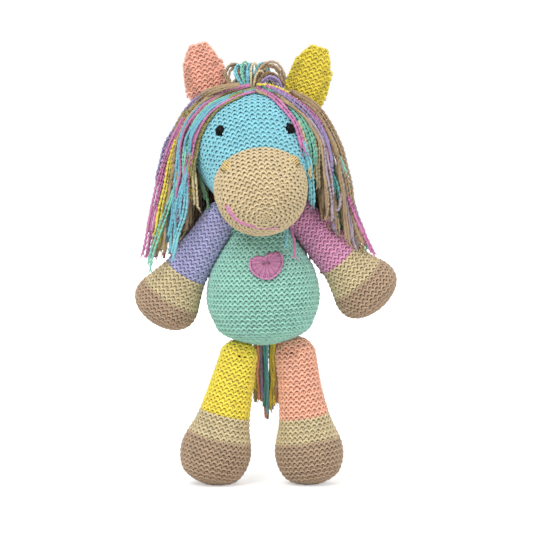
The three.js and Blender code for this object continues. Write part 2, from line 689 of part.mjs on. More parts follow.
// Heart: a flat heart sewn to the curve of the chest
const heart = new THREE.Shape();
const heartPoint = ([x, y]) => [x * (heartWidth / 2), y * heartHeight];
heart.moveTo(...heartPoint(heartStartShares));
heartShares.forEach((curve) => heart.bezierCurveTo(...curve.flatMap(heartPoint)));
const heartCut = { depth: bodyWidth, bevelEnabled: false, curveSegments: heartSteps };
const heartPrism = new THREE.ExtrudeGeometry(heart, heartCut);
heartPrism.rotateZ(heartRoll);
heartPrism.rotateX(Math.PI / 2);
heartPrism.translate(heartAside, 0, heartRise);
const chest = bodySolid(-clearance - heartThickness).subtract(bodyRoom);
addPiece('heart', toSolid(heartPrism).intersect(chest), clothMaterial(heartColour));

// A lock of yarn: an oval tube along a curve, flat side towards the head's middle line
function lockSolid(path, wide, thick, grow, widthShares = lockWidthShares) {
  const widths = new THREE.SplineCurve(widthShares.map((share, i) => (
    new THREE.Vector2(i / (widthShares.length - 1), share))));
  const rings = [];
  for (let i = 0; i <= lockSteps; i += 1) {
    const share = i / lockSteps;
    const middle = path.getPointAt(share);
    const along = path.getTangentAt(share);
    const out = middle.clone().sub(headCentre);
    out.z = Math.max(out.z, 0);
    const across = new THREE.Vector3().crossVectors(along, out).normalize();
    const proud = new THREE.Vector3().crossVectors(across, along).normalize();
    const scale = widths.getPoint(share).y;
    rings.push(Array.from({ length: lockSides }, (_, k) => {
      const angle = (2 * Math.PI * k) / lockSides;
      return middle.clone().addScaledVector(across, (wide * scale + grow) * Math.cos(angle))
        .addScaledVector(proud, (thick * scale + grow) * Math.sin(angle));
    }));
  }
  const blunt = thick / 2 + grow;
  const start = path.getPointAt(0).addScaledVector(path.getTangentAt(0), -blunt);
  const end = path.getPointAt(1).addScaledVector(path.getTangentAt(1), blunt);
  return loft(rings, start, end);
}

const onHead = ([x, y, z]) => vector(x, y, z).multiplyScalar(headRadius).add(headCentre);

// The row of knots that the mane is tied to, over the top of the head and down to the nape
const rowPath = new THREE.CatmullRomCurve3(Array.from({ length: rowSteps + 1 }, (_, k) => {
  const angle = rootStart + ((rootEnd - rootStart) * k) / rowSteps;
  const reach = headRadius + rootThick + clearance;
  return vector(0, Math.sin(angle), Math.cos(angle)).multiplyScalar(reach).add(headCentre);
}));
const rowRoom = lockSolid(rowPath, rootWide, rootThick, clearance, rowShares);
addPiece('mane_knots', cut(lockSolid(rowPath, rootWide, rootThick, 0, rowShares), [headWhole]),
  clothMaterial(maneColours.rear));

const earRooms = ears.map((ear) => ear.room);
const shoulders = [bodyRoom, ...armSolids.map((arm) => (
  swept(arm.pieces.whole, arm.ball, arm.spread, [0, armSpread])))];
const taken = [rowRoom];
const maneHinges = [-maneHingeAside, maneHingeAside].map((x) => onHead([x, 0, 1 + maneHingeProud]));
const maneAxes = [vector(0, 1, 0), vector(0, -1, 0)];
sideNames.forEach((side, i) => {
  const sign = i ? -1 : 1;
  const lifts = (solid, lift) => swept(solid, maneHinges[i], maneAxes[i], [0, lift / 2, lift]);
  const earRoom = lifts(ears[i].room, -maneLift);
  maneLocks.forEach((lock) => {
    const points = lock.pathShares.map(([x, y, z]) => onHead([x * sign, y, z]));
    const path = new THREE.CatmullRomCurve3(points);
    const solid = lockSolid(path, lock.wide, lock.thick, 0);
    const room = lockSolid(path, lock.wide, lock.thick, clearance);
    addPiece(`mane_${side}_${lock.name}`, cut(solid, [headWhole, earRoom, ...taken, ...shoulders]),
      clothMaterial(maneColours[lock.name]));
    taken.push(room);
  });
});

// The bunch of loops on the crown, one each side of the row of knots
sideNames.forEach((side, i) => {
  const sign = i ? 1 : -1;
  const bunch = new THREE.SphereGeometry(1, limbSides, smallSides / 2);
  bunch.rotateX(Math.PI / 2);
  bunch.scale(crownWide, crownDeep, crownTall);
  const angle = Math.asin(crownAside / headRadius);
  bunch.rotateY(sign * angle);
  const reach = headRadius + crownTall / 2;
  bunch.translate(sign * reach * Math.sin(angle), 0, reach * Math.cos(angle));
  bunch.translate(headCentre.x, headCentre.y, headCentre.z);
  const room = cut(toSolid(bunch), [headWhole, ...earRooms, ...taken]);
  addPiece(`mane_crown_${side}`, room, clothMaterial(i ? maneColours.rear : maneColours.back));
});

// Tail: its knot lies on the back of the body and its locks hang from the knot
const tailSeat = onBody(bodyForm.shareAt(tailSeatShare * bodyHeight), ahead + Math.PI);
const tailHinge = ballOn(tailSeat, tailKnot);
tailHinge.x += tailAside;
const knot = new THREE.SphereGeometry(tailKnot, smallSides, smallSides / 2);
knot.translate(tailHinge.x, tailHinge.y, tailHinge.z);
const tailAxis = vector(1, 0, 0);
const tailNearby = swept(bodyRoom, tailHinge, tailAxis, steps(-tailLift, 0, swingSteps));
addPiece('tail_knot', cut(toSolid(knot), [tailNearby]), clothMaterial(mint));
const knotRoom = new THREE.SphereGeometry(tailKnot + clearance, smallSides, smallSides / 2);
knotRoom.translate(tailHinge.x, tailHinge.y, tailHinge.z);
const tailTaken = [toSolid(knotRoom), tailNearby];
['left', 'middle', 'right'].forEach((place, i) => {
  const path = new THREE.CatmullRomCurve3(tailReachShares.map((share, k) => vector(
    tailHinge.x + (i - 1) * tailSpread * Math.min(1, share * 3),
    tailHinge.y + tailLength * (tailOutShares[k] - tailOutShares[0]),
    tailHinge.z - tailLength * share,
  )));
  const solid = lockSolid(path, tailWide, tailThick, 0);
  addPiece(`tail_${place}`, cut(solid, tailTaken), clothMaterial(tailColours[i]));
  tailTaken.push(lockSolid(path, tailWide, tailThick, clearance));
});

// The toy stands on the middle of its box: the frame's origin is at the middle of its foot
const box = new THREE.Box3().setFromObject(group);
const middle = box.getCenter(vector(0, 0, 0));
const shift = vector(-middle.x, -middle.y, -box.min.z);
group.position.copy(shift);

// Where the sewn joints turn, in the same frame as the model
const pivot = (place, axis) => ({ place: place.clone().add(shift), axis });
export const pivots = {
  neck_turn: pivot(headCentre, up),
  head_nod: pivot(headCentre, nodAxis),
  ...Object.fromEntries(ears.map((ear) => [`ear_${ear.side}_flop`, pivot(ear.hinge, ear.axis)])),
  ...Object.fromEntries(armSolids.flatMap((arm) => [
    [`shoulder_${arm.side}_swing`, pivot(arm.ball, flexAxis)],
    [`arm_${arm.side}_spread`, pivot(arm.ball, arm.spread)],
  ])),
  ...Object.fromEntries(legSolids.flatMap((leg) => [
    [`hip_${leg.side}_turn`, pivot(leg.ball, leg.seat.normal)],
    [`leg_${leg.side}_flex`, pivot(leg.ball, flexAxis)],
  ])),
  mane_left_lift: pivot(maneHinges[0], maneAxes[0]),
  mane_right_lift: pivot(maneHinges[1], maneAxes[1]),
  tail_lift: pivot(tailHinge, tailAxis),
  ground: pivot(vector(0, 0, ground + soleFlat), up),
};

export default group;
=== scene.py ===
"""A crocheted toy horse: yarn covers made of stitches, a yarn mane and tail, and a plain studio."""
import bisect
import functools
import json
import math
import random

import bpy
from mathutils import Matrix, Vector, noise
from mathutils.bvhtree import BVHTree


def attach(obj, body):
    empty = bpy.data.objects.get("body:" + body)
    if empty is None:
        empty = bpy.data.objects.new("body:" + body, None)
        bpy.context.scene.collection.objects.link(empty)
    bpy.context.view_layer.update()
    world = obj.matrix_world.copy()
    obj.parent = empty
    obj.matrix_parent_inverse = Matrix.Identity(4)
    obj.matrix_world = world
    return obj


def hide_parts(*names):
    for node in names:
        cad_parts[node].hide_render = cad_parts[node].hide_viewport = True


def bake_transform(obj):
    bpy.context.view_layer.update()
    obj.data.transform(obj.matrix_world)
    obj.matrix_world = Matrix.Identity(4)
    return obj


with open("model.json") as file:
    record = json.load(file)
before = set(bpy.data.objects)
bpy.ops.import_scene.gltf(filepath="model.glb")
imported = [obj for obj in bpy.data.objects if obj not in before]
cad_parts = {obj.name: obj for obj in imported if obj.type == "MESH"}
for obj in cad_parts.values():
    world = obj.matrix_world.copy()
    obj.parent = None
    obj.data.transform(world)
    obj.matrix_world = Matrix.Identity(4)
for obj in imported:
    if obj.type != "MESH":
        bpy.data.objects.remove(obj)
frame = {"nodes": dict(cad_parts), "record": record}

bl_info = {
    "name": "Crocheted Horse",
    "version": (1, 0, 0),
    "blender": (4, 5, 0),
    "location": "3D View > Sidebar > Horse",
    "description": "Stitches, yarn hair and face of a crocheted toy horse",
    "category": "Object",
}

MM = 0.001
TINY = 1e-9
SIDES = {"left": -1, "right": 1}
BACK, UP = Vector((0, 1, 0)), Vector((0, 0, 1))
JOINTS = {joint["name"]: joint for joint in frame["record"]["behaviour"]["joints"]}
# The noise that sways the strands would start from the clock without a seed.
noise.seed_set(11)


def pivot(name):
    """Where a sewn joint turns."""
    return Vector(JOINTS[name]["pos_m"])


HEAD = pivot("head_nod")
SEAT = HEAD - Vector((-8.2, -8, 166.6)) * MM
PHOTO_SCALE = 0.85 * MM
PHOTO_MIDDLE, PHOTO_GROUND = 265, 487


def seen_at(across, down):
    """The X and Z of a place in the front view, from its column and row in a frame of 533."""
    return (across - PHOTO_MIDDLE) * PHOTO_SCALE + SEAT.x, (PHOTO_GROUND - down) * PHOTO_SCALE


def held(value, low=0, high=1):
    """A value kept between two limits."""
    return min(max(value, low), high)


def colour(text):
    """A written colour as linear red, green, blue and one."""
    parts = [int(text[i:i + 2], 16) / 255 for i in (0, 2, 4)]
    return tuple(p / 12.92 if p <= 0.04045 else ((p + 0.055) / 1.055) ** 2.4 for p in parts) + (1,)


def yarn_prop(name, text):
    """A colour that the user may change."""
    return bpy.props.FloatVectorProperty(
        name=name, description=name + " of the yarn", subtype="COLOR", size=4, min=0, max=1,
        default=colour(text))


def length_prop(name, text, size):
    """A length in mm that the user may change."""
    return bpy.props.FloatProperty(name=name, description=text, default=size * MM, unit="LENGTH")


class HorseYarns(bpy.types.PropertyGroup):
    """Colours of the yarns"""
    head: yarn_prop("Head", "94d9e6")
    muzzle: yarn_prop("Muzzle", "e0cba1")
    body: yarn_prop("Body", "a4dbca")
    heart: yarn_prop("Heart", "cf8bb2")
    lilac: yarn_prop("Left sleeve", "bab8e2")
    pink: yarn_prop("Right sleeve", "eaa5cb")
    yellow: yarn_prop("Left leg", "ffea57")
    peach: yarn_prop("Right leg", "ffc1a4")
    cuff: yarn_prop("Cuffs", "dccaa0")
    hoof: yarn_prop("Hooves", "bea286")
    ear_left: yarn_prop("Left ear", "f7b7a0")
    ear_right: yarn_prop("Right ear", "ecd74c")
    mouth: yarn_prop("Mouth", "ee9fcb")
    nostril: yarn_prop("Nostrils", "ead08e")


class HorseSizes(bpy.types.PropertyGroup):
    """Sizes of the stitches and strands"""
    stitch_width: length_prop("Stitch width", "Width of one stitch along its round", 5.0)
    row_height: length_prop("Row height", "Distance from one round to the next", 4.3)
    strand: length_prop("Strand", "Thickness of the yarn in the mane and tail", 2.7)
    eye: length_prop("Eye", "Width of one eye", 8.4)


# ---------------------------------------------------------------- lines and forms

def between(p0, p1, p2, p3, t):
    """The value at t from p1 to p2 on a smooth line through four."""
    return 0.5 * (2 * p1 + (p2 - p0) * t + (2 * p0 - 5 * p1 + 4 * p2 - p3) * t * t
                  + (3 * p1 - p0 - 3 * p2 + p3) * t ** 3)


def eased(points, count):
    """A smooth line of count points through a few."""
    every = [points[0] * 2 - points[1]] + points + [points[-1] * 2 - points[-2]]
    spans = len(points) - 1
    line = []
    for i in range(count):
        at = min(i / (count - 1) * spans, spans - 1e-6)
        line.append(between(*every[int(at):int(at) + 4], at - int(at)))
    return line


def smoothed(path, passes):
    """A line with each inner point drawn towards its two neighbours."""
    for _ in range(passes):
        path = [path[0]] + [(a + b * 2 + c) / 4 for a, b, c in zip(path, path[1:], path[2:])] + [path[-1]]
    return path


def reaches(points, closed=True):
    """The length run so far at each point of a line, or all the way round a ring."""
    reach = [0]
    for a, b in zip(points, points[1:] + (points[:1] if closed else [])):
        reach.append(reach[-1] + math.dist(a, b))
    return reach


def span_at(reach, goal):
    """The span that a length falls in, and the share of that span."""
    i = bisect.bisect_right(reach, goal, 0, len(reach) - 1) - 1
    return i, (goal - reach[i]) / max(reach[i + 1] - reach[i], TINY)


def around(first, second, angle):
    """The direction at an angle between two that are square to each other."""
    return first * math.cos(angle) + second * math.sin(angle)


def full_turn(count):
    """Evenly spaced angles of one turn."""
    return [2 * math.pi * k / count for k in range(count)]


def skin(rows, sides, flip=False):
    """Faces round rows of corners, with a fan at each end to two tips that come after the rows."""
    last, tip = (rows - 1) * sides, rows * sides
    faces = []
    for k in range(sides):
        n = (k + 1) % sides
        faces += [[j + n, j + k, j + sides + k, j + sides + n] for j in range(0, last, sides)]
        faces += [[tip, k, n], [tip + 1, last + n, last + k]]
    return [face[::-1] for face in faces] if flip else faces


class RoundForm:
    """A soft round form through knots of (distance along the axis, radius), from pole to pole."""
    steps = 24

    def __init__(self, knots):
        knots = [(a * MM, r * MM) for a, r in knots]
        every = [(knots[1][0], -knots[1][1])] + knots + [(knots[-2][0], -knots[-2][1])]
        self.outline = [tuple(between(*four, i / self.steps) for four in zip(*group))
                        for group in zip(every, every[1:], every[2:], every[3:]) for i in range(self.steps)]
        self.outline.append(knots[-1])
        self.reach = reaches(self.outline, closed=False)
        self.length = self.reach[-1]

    def at(self, share):
        """(along, radius) at a share of the outline's length."""
        i, part = span_at(self.reach, held(share) * self.length)
        (a, r), (b, q) = self.outline[i:i + 2]
        return a + (b - a) * part, max(r + (q - r) * part, 0)

    def share_at(self, along):
        """The share of the outline's length that lies this far along the axis."""
        for reach, (a, _) in zip(self.reach, self.outline):
            if a >= along:
                return reach / self.length
        return 1

    def radius_at(self, along):
        """The radius this far along the axis."""
        return self.at(self.share_at(along))[1]


def tree_of(names):
    """A search tree of the faces of some CAD nodes."""
    corners, faces = [], []
    for name in names:
        mesh = frame["nodes"][name].data
        start = len(corners)
        corners += [v.co.copy() for v in mesh.vertices]
        faces += [[start + k for k in p.vertices] for p in mesh.polygons]
    return BVHTree.FromPolygons(corners, faces)


def stitched_round(place, share, step, width, shift, samples, fewest, multiple, inset=lambda turn: 0.0):
    """The stitches of one round: place, direction along the round, direction up, and stretch."""
    reach = reaches([place(share, k / samples) for k in range(samples)])
    count = max(fewest, multiple * round(reach[-1] / width / multiple))
    found = []
    for k in range(count):
        span, part = span_at(reach, (k + shift) % count / count * reach[-1])
        turn = (span + part) / samples
        across = place(share, turn + 0.01) - place(share, turn - 0.01)
        up = place(min(share + step, 1), turn) - place(max(share - step, 0), turn)
        if up.length > 1e-7 and across.length > 1e-7:
            found.append((place(share, turn, inset(turn)), across, up, reach[-1] / count / width))
    return found


def facing(across, up, away):
    """The direction along a round, turned so that its stitch faces away."""
    return -across if across.cross(up).dot(away) < 0 else across


class Cover:
    """A crocheted cover: a round form along a direction, sunk where the solid behind it is cut back."""
    rows, columns = 44, 48
    clear = 0.02
    wall_sides = 40

    def __init__(self, form, base, axis, nodes=(), low=0.0, high=0.0):
        self.form, self.base, self.axis = form, base, axis.normalized()
        self.side = (Vector((1, 0, 0)) - self.axis * self.axis.x).normalized()
        self.other = self.axis.cross(self.side)
        self.low, self.high = low, high
        self.sunk = self.measured(tree_of(nodes), 1.0 * MM) if nodes else None

    def heart_of(self, along):
        """The middle line that the surface is measured from."""
        return self.base + self.axis * held(along, self.low, self.high)

    def bare(self, share, turn):
        """A point of the form itself, and how far along the axis it is."""
        along, radius = self.form.at(share)
        return self.base + self.axis * along + around(self.side, self.other, 2 * math.pi * turn) * radius, along

    def grid(self, value):
        """A value for each row and column of the cover."""
        return [[value(i, k) for k in range(self.columns)] for i in range(self.rows + 1)]

    def measured(self, tree, ease):
        """How deep the solids lie under the form: single cells evened out, less the ease of the yarn."""

        def depth(i, k):
            place, along = self.bare(i / self.rows, k / self.columns)
            inward = self.heart_of(along) - place
            way = inward.normalized()
            hit = tree.ray_cast(place - way * self.clear, way, inward.length + self.clear)
            return min(0 if hit[0] is None else max(0, hit[3] - self.clear), inward.length * 0.8)

        def near(cells, i, k):
            return [[cells[held(i + a, 0, self.rows)][(k + b) % self.columns] for b in (-1, 0, 1)]
                    for a in (-1, 0, 1)]

        raw = self.grid(depth)
        sunk = self.grid(lambda i, k: min(max(line) for line in near(raw, i, k)))
        for _ in range(2):
            before = sunk
            sunk = self.grid(lambda i, k: max(before[i][k], sum(map(sum, near(before, i, k))) / 9))
        return self.grid(lambda i, k: max(0, sunk[i][k] - ease) + (ease if sunk[i][k] > 2 * ease else 0))

    def depth(self, share, turn):
        """How far the cover is sunk at a place."""
        if self.sunk is None:
            return 0
        y, x = held(share) * self.rows, (turn % 1) * self.columns
        i, k = min(int(y), self.rows - 1), int(x) % self.columns
        a, b, n = y - i, x - int(x), (k + 1) % self.columns
        return ((self.sunk[i][k] * (1 - b) + self.sunk[i][n] * b) * (1 - a)
                + (self.sunk[i + 1][k] * (1 - b) + self.sunk[i + 1][n] * b) * a)

    def place(self, share, turn, inset=0.0):
        """A point of the cover, or one under it by inset."""
        bare, along = self.bare(share, turn)
        inward = self.heart_of(along) - bare
        return bare + inward.normalized() * min(self.depth(share, turn) + inset, inward.length * 0.95)

    def stitches(self, start, stop, sign):
        """Every stitch between two shares: place, along, up and size. A sign of -1 points them back."""
        sizes = bpy.context.scene.horse_sizes
        rows = max(2, round(self.form.length / sizes.row_height))
        tall = self.form.length / rows / sizes.row_height
        found = []
        for row in range(rows):
            share = (row + 0.5) / rows
            if start <= share < stop:
                for here, across, up, wide in stitched_round(
                        self.place, share, 0.35 / rows, sizes.stitch_width, row * 0.07 % 1, 48, 6, 3):
                    away = here - self.heart_of((here - self.base).dot(self.axis))
                    found.append((here, facing(across, up, away) * sign, up * sign, (wide, tall)))
        return found

    def wall(self, start, stop, outer, inner):
        """A thin closed wall of backing between two shares, as corners and faces."""
        sides = self.wall_sides
        count = max(3, round((stop - start) * self.form.length / (4 * MM)))
        shares = [start + (stop - start) * i / count for i in range(count + 1)]
        corners, faces, rings = [], [], []
        for share, inset in [(s, outer) for s in shares] + [(s, inner) for s in reversed(shares)]:
            first, pole = len(corners), share <= 0 or share >= 1
            corners += [self.place(share, k / sides, inset) for k in range(1 if pole else sides)]
            rings.append([first + (0 if pole else k) for k in range(sides)])
        for i, (low, high) in enumerate(zip(rings, rings[1:] + rings[:1])):
            if (i == count and stop >= 1) or (i == len(rings) - 1 and start <= 0):
                continue
            for k in range(sides):
                n = (k + 1) % sides
                face = [low[k], low[n], high[n], high[k]]
                face = [c for j, c in enumerate(face) if c != face[j - 1]]
                if len(face) > 2:
                    faces.append(face)
        return corners, faces


# ---------------------------------------------------------------- nodes and materials

def wired(tree, kind, values=(), **settings):
    """A new node, or one that is there, with its settings and its inputs set or linked; gives its outputs."""
    node = tree.nodes.new(kind) if isinstance(kind, str) else kind
    for key, value in settings.items():
        setattr(node, key, value)
    for key, value in values.items() if isinstance(values, dict) else values:
        if isinstance(value, bpy.types.NodeSocket):
            tree.links.new(value, node.inputs[key])
        else:
            node.inputs[key].default_value = value
    return node.outputs


def maths(add, kind, *values):
    """The result of a Math node."""
    return add("ShaderNodeMath", dict(enumerate(values)), operation=kind)[0]


def new_group(name, kind, takes, gives):
    """A new node group with its named sockets, as the adder of its nodes and what it takes."""
    tree = bpy.data.node_groups.new(name, kind)
    for way, sockets in (("INPUT", takes), ("OUTPUT", gives)):
        for title, socket, *value in sockets:
            made = tree.interface.new_socket(name=title, in_out=way, socket_type="NodeSocket" + socket)
            if value:
                made.default_value = value[0]
    add = functools.partial(wired, tree)
    return tree, add, add("NodeGroupInput")


def yarn_group():
    """Tone that drifts along the yarn, painted shade in the hollows between fibres and painted light on their tops,
    and a fine fibre height.
    """
    if "Yarn" in bpy.data.node_groups:
        return bpy.data.node_groups["Yarn"]
    tree, add, come = new_group("Yarn", "ShaderNodeTree", (
        ("Colour", "Color", (0.8, 0.8, 0.8, 1)), ("Shade", "Float", 1.0), ("Drift", "Float", 0.16),
        ("Fibre Scale", "Float", 1400.0)),
        (("Colour", "Color"), ("Roughness", "Float"), ("Height", "Float")))
    place = add("ShaderNodeTexCoord")["Object"]
    broad = add("ShaderNodeTexNoise", {"Vector": place, "Scale": 90, "Detail": 3})["Fac"]
    fine = add("ShaderNodeTexNoise", {
        "Vector": place, "Scale": come["Fibre Scale"], "Detail": 4, "Roughness": 0.65})["Fac"]
    tone = maths(add, "MULTIPLY_ADD", maths(add, "SUBTRACT", broad, 0.5), come["Drift"], 1.0)
    # Painted shade and light: the fine fibre height also darkens the colour in its hollows and lightens it on its
    # tops.
    fibre_painted_shade = maths(add, "MULTIPLY_ADD", maths(add, "SUBTRACT", fine, 0.5), 0.5, 1.0)
    total = maths(add, "MULTIPLY", maths(add, "MULTIPLY", tone, fibre_painted_shade), come["Shade"])
    dyed = add("ShaderNodeVectorMath", {0: come["Colour"], "Scale": total}, operation="SCALE")[0]
    add("NodeGroupOutput", {
        "Colour": dyed, "Roughness": maths(add, "MULTIPLY_ADD", fine, 0.2, 0.72), "Height": fine})
    return tree


def new_material(name):
    """A material with the adder of its nodes and its main shader."""
    made = bpy.data.materials.new(name)
    made.use_nodes = True
    return made, functools.partial(wired, made.node_tree), made.node_tree.nodes["Principled BSDF"]


def wool(name, rgba=None, drift=0.16):
    """The wool of that name, made once; without a colour it takes the strand's own."""
    name = "wool_" + name
    if name in bpy.data.materials:
        return bpy.data.materials[name]
    made, add, shader = new_material(name)
    dye = add("ShaderNodeAttribute", attribute_name="tint")["Color"] if rgba is None else rgba
    # The shade attribute holds the random tone of each stitch or strand and painted shade: darker backing, lower
    # stitch corners, heart spokes and dark strands.
    shade = add("ShaderNodeAttribute", attribute_name="shade")["Fac"]
    fibres = add("ShaderNodeGroup", {"Drift": drift, "Shade": shade, "Colour": dye}, node_tree=yarn_group())
    bump = add("ShaderNodeBump", {"Strength": 0.6, "Distance": 0.0004, "Height": fibres["Height"]})
    add(shader, {
        "Sheen Weight": 0.35, "Sheen Roughness": 0.45, "Specular IOR Level": 0.25,
        "Base Color": fibres["Colour"], "Roughness": fibres["Roughness"], "Normal": bump["Normal"]})
    return made


# ---------------------------------------------------------------- meshes and trees

def new_object(name, corners, faces=(), edges=(), attributes=()):
    """A mesh object at the origin, with attributes on its corners."""
    mesh = bpy.data.meshes.new(name)
    mesh.from_pydata([tuple(c) for c in corners], edges, faces)
    for title, kind, values in attributes:
        made = mesh.attributes.new(title, kind, "POINT")
        field = {"FLOAT": "value", "FLOAT_VECTOR": "vector", "FLOAT_COLOR": "color"}[kind]
        made.data.foreach_set(field, values if kind == "FLOAT" else [c for value in values for c in value])
    mesh.validate()
    return linked(name, mesh)


def linked(name, data):
    """An object of the scene that shows some data."""
    made = bpy.data.objects.new(name, data)
    bpy.context.scene.collection.objects.link(made)
    return made


def tube(path, radius, sides=5):
    """A closed tube through points, as corners and faces."""
    corners, last = [], len(path) - 1
    for i, here in enumerate(path):
        along = (path[min(i + 1, last)] - path[max(i - 1, 0)]).normalized()
        first = along.cross(UP)
        first = first.normalized() if first.length > 0.05 else Vector((1, 0, 0))
        second = along.cross(first)
        corners += [here + around(first, second, a) * radius[i] for a in full_turn(sides)]
    faces = [[i * sides + n, i * sides + k, (i + 1) * sides + k, (i + 1) * sides + n]
             for i in range(last) for k, n in zip(range(sides), [*range(1, sides), 0])]
    return corners, faces + [list(range(sides)), [last * sides + k for k in reversed(range(sides))]]


# The arch of a stitch and its right leg, in mm: places and thicknesses.
ARCH = (((-2.42, -2.6, -0.4), (-2.2, -1.0, 0.1), (-1.4, 0.45, 0.4), (0, 0.95, 0.5), (1.4, 0.45, 0.4),
         (2.2, -1.0, 0.1), (2.42, -2.6, -0.4)), (0.72, 0.9, 1.0, 1.04, 1.0, 0.9, 0.72))
STITCH_LEG = ((1.05, -3.1, -0.2), (0.68, -2.1, 0.15), (0.3, -1.25, -0.6)), (0.7, 0.82, 0.5)


def stitch_shape():
    """One stitch: an arch of yarn over two short legs that stand on the round before, with painted shade on its lower
    corners.
    """
    found = bpy.data.objects.get("stitch_shape")
    if found:
        return found
    corners, faces = [], []
    legs = [([(s * x, y, z) for x, y, z in STITCH_LEG[0]], STITCH_LEG[1]) for s in (-1, 1)]
    for path, radius in [ARCH] + legs:
        some, more = tube([Vector(p) * MM for p in path], [r * MM for r in radius])
        faces += [[len(corners) + c for c in face] for face in more]
        corners += some
    # Painted shade: each corner is darker the lower it lies, down to 0.7, kept in the depth attribute.
    shades = [0.7 + 0.3 * held((c.z / MM + 0.9) / 1.7) for c in corners]
    made = new_object("stitch_shape", corners, faces, attributes=[("depth", "FLOAT", shades)])
    bpy.context.scene.collection.objects.unlink(made)
    return made


def crochet_tree():
    """Sets a stitch on every point of a cover and joins the backing under them."""
    if "Crochet" in bpy.data.node_groups:
        return bpy.data.node_groups["Crochet"]
    tree, add, come = new_group("Crochet", "GeometryNodeTree", (
        ("Points", "Geometry"), ("Stitch", "Object"), ("Backing", "Object"), ("Unevenness", "Float", 0.09),
        ("Seed", "Int", 3), ("Yarn", "Material")), (("Cover", "Geometry"),))
    stitch = add("GeometryNodeObjectInfo", {"Object": come["Stitch"]})["Geometry"]
    backing = add("GeometryNodeObjectInfo", {"Object": come["Backing"]})["Geometry"]
    turn, size, painted_depth_shade, tone = (
        add("GeometryNodeInputNamedAttribute", {"Name": name}, data_type=kind)["Attribute"]
        for name, kind in (("turn", "FLOAT_VECTOR"), ("size", "FLOAT_VECTOR"), ("depth", "FLOAT"), ("shade", "FLOAT")))
    set_on = add("GeometryNodeInstanceOnPoints", {
        "Points": come["Points"], "Instance": stitch, "Rotation": turn, "Scale": size})["Instances"]
    lower = maths(add, "MULTIPLY", come["Unevenness"], -1.0)
    uneven = add("FunctionNodeRandomValue", {
        "Min": lower, "Max": come["Unevenness"], "Seed": come["Seed"]}, data_type="FLOAT_VECTOR")["Value"]
    turned = add("GeometryNodeRotateInstances", {"Instances": set_on, "Rotation": uneven})["Instances"]
    real = add("GeometryNodeRealizeInstances", {"Geometry": turned})["Geometry"]
    # The stored shade is painted shade, darker low on each stitch, times each stitch's random tone.
    stored = add("GeometryNodeStoreNamedAttribute", {
        "Geometry": real, "Name": "shade", "Value": maths(add, "MULTIPLY", painted_depth_shade, tone)},
        data_type="FLOAT", domain="POINT")["Geometry"]
    joined = add("GeometryNodeJoinGeometry", ((0, backing), (0, stored)))[0]
    smooth = add("GeometryNodeSetShadeSmooth", {"Geometry": joined})[0]
    dyed = add("GeometryNodeSetMaterial", {"Geometry": smooth, "Material": come["Yarn"]})[0]
    add("NodeGroupOutput", {"Cover": add("GeometryNodeRealizeInstances", {"Geometry": dyed})[0]})
    return tree


def strand_tree():
    """Turns lines into strands of three plies that twist round each other."""
    if "Strands" in bpy.data.node_groups:
        return bpy.data.node_groups["Strands"]
    tree, add, come = new_group("Strands", "GeometryNodeTree", (
        ("Lines", "Geometry"), ("Plies", "Int", 3), ("Ply Depth", "Float", 0.68), ("Twist", "Float", 420.0),
        ("Yarn", "Material")), (("Strands", "Geometry"),))
    curve = add("GeometryNodeMeshToCurve", {"Mesh": come["Lines"]})["Curve"]
    twist = maths(add, "MULTIPLY", add("GeometryNodeSplineParameter")["Length"], come["Twist"])
    tilted = add("GeometryNodeSetCurveTilt", {"Curve": curve, "Tilt": twist})["Curve"]
    thick = add("GeometryNodeInputNamedAttribute", {"Name": "thick"}, data_type="FLOAT")["Attribute"]
    section = add("GeometryNodeCurveStar", {
        "Points": come["Plies"], "Inner Radius": come["Ply Depth"], "Outer Radius": 1.08})["Curve"]
    solid = add("GeometryNodeCurveToMesh", {
        "Curve": tilted, "Profile Curve": section, "Scale": thick, "Fill Caps": True})["Mesh"]
    smooth = add("GeometryNodeSetShadeSmooth", {"Geometry": solid})[0]
    real = add("GeometryNodeRealizeInstances", {"Geometry": smooth})[0]
    dyed = add("GeometryNodeSetMaterial", {"Geometry": real, "Material": come["Yarn"]})[0]
    add("NodeGroupOutput", {"Strands": dyed})
    return tree


def grown(name, source, tree, values):
    """The plain mesh that a node tree makes from a source object, as a new object."""
    grow = source.modifiers.new("grow", "NODES")
    grow.node_group = tree
    for item in tree.interface.items_tree:
        if item.item_type == "SOCKET" and item.in_out == "INPUT" and item.name in values:
            grow[item.identifier] = values[item.name]
    bpy.context.view_layer.update()
    mesh = bpy.data.meshes.new_from_object(source.evaluated_get(bpy.context.evaluated_depsgraph_get()))
    mesh.name = name
    source.modifiers.remove(grow)
    bpy.data.objects.remove(source)
    return linked(name, mesh)


def crocheted(name, stitches, wall, look, seed, rise):
    """A piece of crochet from its stitches and its backing."""
    chance = random.Random(seed)
    corners, turns, sizes = [], [], []
    for here, across, up, (wide, tall) in stitches:
        right = across.normalized()
        out = right.cross(up).normalized()
        corners.append(here + out * rise)
        turns.append(tuple(Matrix((right, out.cross(right), out)).transposed().to_euler()))
        sizes.append((wide, tall, min(1.15, (wide + tall) / 2)))
    shades = [chance.uniform(0.93, 1.08) for _ in corners]
    points = new_object(name + "_points", corners, attributes=[
        ("turn", "FLOAT_VECTOR", turns), ("size", "FLOAT_VECTOR", sizes), ("shade", "FLOAT", shades)])
    # Painted shade: the backing is darkened to 0.6 where it shows between the stitches.
    backing = new_object(name + "_backing", *wall, attributes=[("shade", "FLOAT", [0.6] * len(wall[0]))])
    made = grown(name, points, crochet_tree(), {
        "Stitch": stitch_shape(), "Backing": backing, "Unevenness": 0.09, "Seed": seed, "Yarn": look})
    bpy.data.objects.remove(backing)
    return made


